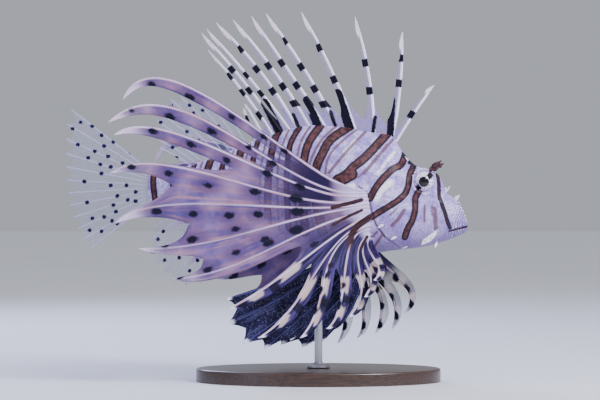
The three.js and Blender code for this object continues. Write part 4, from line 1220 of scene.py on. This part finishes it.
def head_leaves():
    """Small flaps round the eye and on the cheeks, snout, upper lip, nape and chin."""
    leaves = []
    for side in (RIGHT, LEFT):
        for n in range(EYE_FLAPS["count"]):
            turn = math.radians(EYE_FLAPS["from"] + EYE_FLAPS["apart"] * n)
            x = EYE["x"] + EYE_FLAPS["radius"] * math.cos(turn)
            height = EYE["height"] + EYE_FLAPS["radius"] * math.sin(turn)
            root = on_flank(x, height, side, -0.6)
            leaves.append((root, root + sided(EYE_FLAPS["reach"], side), *EYE_FLAPS["size"]))
        for x, height, length in CHEEK_FLAPS:
            root = on_flank(x, height, side, -1)
            tip = on_flank(x - length * 0.8, height - length * 0.5, side, 1.4)
            leaves.append((root, tip, 1.8, 0.9))
        for x, height, length in SNOUT_FLAPS:
            root = sided((x - 1.5, 5, height - 1), side)
            leaves.append((root, root + sided((length * 0.7, 1.5, length), side), 0.8, 0.5))
            leaves.append((root, root + sided((length * 0.2, 1.5, length * 0.9), side), 0.6, 0.4))
        for n in range(LIP_FLAPS["count"]):
            x, height = (start + n * apart for start, apart in zip(LIP_FLAPS["start"], LIP_FLAPS["apart"]))
            root = on_flank(min(x, LIP_FLAPS["foremost"]), height, side, -0.8)
            tip = root + sided((2.1, 0.8, 0.9 - 0.2 * n), side)
            leaves.append((root, tip, *LIP_FLAPS["size"]))
        for start, reach, width, thick in (NAPE_FLAP, CHIN_FLAP):
            root = sided(start, side)
            leaves.append((root, root + sided(reach, side), width, thick))
    return leaf_mesh("head_flaps", leaves)


def eye_mesh(side):
    """An eyeball, as finely round as a polished one."""
    bm = bmesh.new()
    radius = (EYE["radius"] - EYE["polished_off"]) * MM
    bmesh.ops.create_uvsphere(bm, u_segments=64, v_segments=32, radius=radius)
    centre = Vector((EYE["x"], side * EYE["y"], AXIS_HEIGHT + EYE["height"])) * MM
    bmesh.ops.translate(bm, verts=bm.verts, vec=centre)
    mesh = bpy.data.meshes.new("eye")
    bm.to_mesh(mesh)
    mesh.shade_smooth()
    return mesh


def base_mesh():
    """The oval base, with a rounded upper edge."""
    bm = bmesh.new()
    bmesh.ops.create_circle(bm, cap_ends=True, segments=160, radius=1)
    bmesh.ops.scale(bm, verts=bm.verts, vec=(BASE["length"] / 2 * MM, BASE["width"] / 2 * MM, 1))
    top = bmesh.ops.extrude_face_region(bm, geom=bm.faces[:])
    lifted = [v for v in top["geom"] if isinstance(v, bmesh.types.BMVert)]
    bmesh.ops.translate(bm, verts=lifted, vec=(0, 0, BASE["thick"] * MM))
    bmesh.ops.recalc_face_normals(bm, faces=bm.faces)
    rim = [e for e in bm.edges if all(v.co.z > 0.5 * BASE["thick"] * MM for v in e.verts)]
    bmesh.ops.bevel(
        bm,
        geom=rim,
        offset=BASE["edge"] * MM,
        offset_type="OFFSET",
        segments=5,
        profile=0.5,
        affect="EDGES",
        material=-1,
    )
    mesh = bpy.data.meshes.new("base")
    bm.to_mesh(mesh)
    smooth_by_angle(mesh)
    return mesh


def rod_mesh():
    """The rod and its flange as one turned piece."""
    foot = BASE["thick"] + GAP
    shoulder = foot + ROD["flange_thick"]
    top = AXIS_HEIGHT + belly_at(ROD["x"]) + ROD["sink"]
    flange, radius, edge = ROD["flange"], ROD["radius"], ROD["edge"]
    outline = [(0, foot), (flange - edge, foot), (flange, foot + edge)]
    outline += [(flange, shoulder - edge), (flange - edge, shoulder)]
    outline += [(radius + wide, shoulder + high) for wide, high in ROD_FILLET]
    outline += [(radius, top), (0, top)]
    bm = bmesh.new()
    verts = [bm.verts.new((out * MM, 0, z * MM)) for out, z in outline]
    edges = [bm.edges.new(pair) for pair in zip(verts, verts[1:])]
    bmesh.ops.spin(
        bm,
        geom=verts + edges,
        axis=(0, 0, 1),
        cent=(0, 0, 0),
        steps=64,
        angle=2 * math.pi,
        use_merge=True,
    )
    bmesh.ops.remove_doubles(bm, verts=bm.verts, dist=1e-6)
    bmesh.ops.recalc_face_normals(bm, faces=bm.faces)
    bmesh.ops.translate(bm, verts=bm.verts, vec=(ROD["x"] * MM, 0, 0))
    mesh = bpy.data.meshes.new("rod")
    bm.to_mesh(mesh)
    smooth_by_angle(mesh)
    return mesh


def smooth_by_angle(mesh, degrees=35):
    """Shades a mesh smooth, apart from edges that are sharper than an angle."""
    bm = bmesh.new()
    bm.from_mesh(mesh)
    for face in bm.faces:
        face.smooth = True
    for edge in bm.edges:
        edge.smooth = edge.is_boundary or edge.calc_face_angle(0) < math.radians(degrees)
    bm.to_mesh(mesh)


def build_fish():
    """The fish's pieces; each names the solids that it stands for."""
    cream, brown = ("#F6F0FC", "#C79FB4"), ("#1C080E", "#56282A", "#B89AB8")
    pale = flap_look("painted_soft_resin_pale", cream, (1.4, 3, 0.35, 0.5), (0.8, 3, 0.4, 0.2))
    tentacle = flap_look("painted_soft_resin_flaps", brown, (1.6, 4, 0.38, 0.6), (0.9, 4, 0.6, 0.3))
    piece("skin", skin_mesh(), fish_skin(), ["head", "lower_jaw", "trunk", "tail_root"])
    piece("head_flaps", head_leaves(), pale, [])
    eye, indigo, clear = eye_look(), pelvic_look(), clear_look()
    mauve = {
        RIGHT: pectoral_look("painted_resin_sheet_mauve", False),
        LEFT: pectoral_look("painted_resin_sheet_mauve_far", True),
    }
    for side, word in WORD.items():
        piece(f"eyeball_{word}", eye_mesh(side), eye, [f"eye_{word}"])
        brow = [(sided(root, side), sided(tip, side), *form) for root, tip, *form in BROW_LEAVES]
        made = leaf_mesh(f"brow_leaf_{word}", brow)
        piece(f"brow_leaf_{word}", made, tentacle, [f"brow_tentacle_{word}"])
        (x, height, out), (tip_x, tip, tip_out) = MOUTH_LEAF["root"], MOUTH_LEAF["tip"]
        flap = (on_flank(x, height, side, out), on_flank(tip_x, tip, side, tip_out), *MOUTH_LEAF["form"])
        made = leaf_mesh(f"mouth_leaf_{word}", [flap])
        piece(f"mouth_leaf_{word}", made, pale, [f"mouth_tentacle_{word}"])
        piece(f"pectoral_{word}", pectoral(side), mauve[side], [f"pectoral_fin_{word}"])
        piece(f"pelvic_{word}", pelvic(side), indigo, [f"pelvic_fin_{word}"])
    piece("spines", spines(), spine_look(), ["dorsal_spines"])
    dorsal = soft_fin("dorsal_soft_skin", SOFT_DORSAL, back_at)
    piece("dorsal_soft", dorsal, clear, ["soft_dorsal_fin"])
    piece("anal", soft_fin("anal_skin", ANAL, belly_at), clear, ["anal_fin"])
    piece("caudal", caudal(), clear, ["caudal_fin"])


def build_stand():
    """The display stand's two pieces."""
    piece("base", base_mesh(), base_look(), ["stand_base"])
    piece("rod", rod_mesh(), rod_look(), ["stand_rod"])


def build_floor():
    """A plain floor under the stand, which isn't part of the object."""
    bm = bmesh.new()
    bmesh.ops.create_grid(bm, x_segments=2, y_segments=2, size=FLOOR_HALF)
    mesh = bpy.data.meshes.new("floor")
    bm.to_mesh(mesh)
    floor = bpy.data.objects.new("floor", mesh)
    bpy.context.collection.objects.link(floor)
    floor.data.materials.append(floor_look())


def light(name, place, size, power, colour):
    """A round lamp that shines on the fish's middle."""
    data = bpy.data.lights.new(name, "AREA")
    data.shape, data.size, data.energy = "DISK", size, power
    data.color = linear(colour)[:3]
    made = bpy.data.objects.new(name, data)
    bpy.context.collection.objects.link(made)
    made.location = place
    toward = Vector((0, 0, AXIS_HEIGHT * MM)) - Vector(place)
    made.rotation_euler = toward.to_track_quat("-Z", "Y").to_euler()


def build_studio():
    """Soft lights from above and both sides, a pale surround, and a long lens as in the photograph."""
    for lamp in LAMPS:
        light(*lamp)
    overhead = bpy.data.lights.new("overhead", "SUN")
    overhead.energy = SUN["strength"]
    overhead.angle = math.radians(SUN["degrees"])
    bpy.context.collection.objects.link(bpy.data.objects.new("overhead", overhead))
    world = bpy.data.worlds.new("studio")
    world.use_nodes = True
    surround = world.node_tree.nodes["Background"]
    surround.inputs["Color"].default_value = linear(SURROUND["colour"])
    surround.inputs["Strength"].default_value = SURROUND["strength"]
    bpy.context.scene.world = world
    data = bpy.data.cameras.new("camera")
    data.sensor_width = VIEW["sensor"]
    distance = VIEWER["far"] * MM
    data.lens = VIEW["closeness"] * VIEW["sensor"] * distance / (FRAME_WIDTH * MM)
    data.shift_y = -VIEW["lowered"]
    camera = bpy.data.objects.new("camera", data)
    bpy.context.collection.objects.link(camera)
    camera.location = (VIEWER["x"] * MM, -distance, (AXIS_HEIGHT + VIEWER["height"]) * MM)
    camera.rotation_euler = (math.pi / 2, 0, 0)
    bpy.context.scene.camera = camera


build_fish()
build_stand()
build_floor()
build_studio()
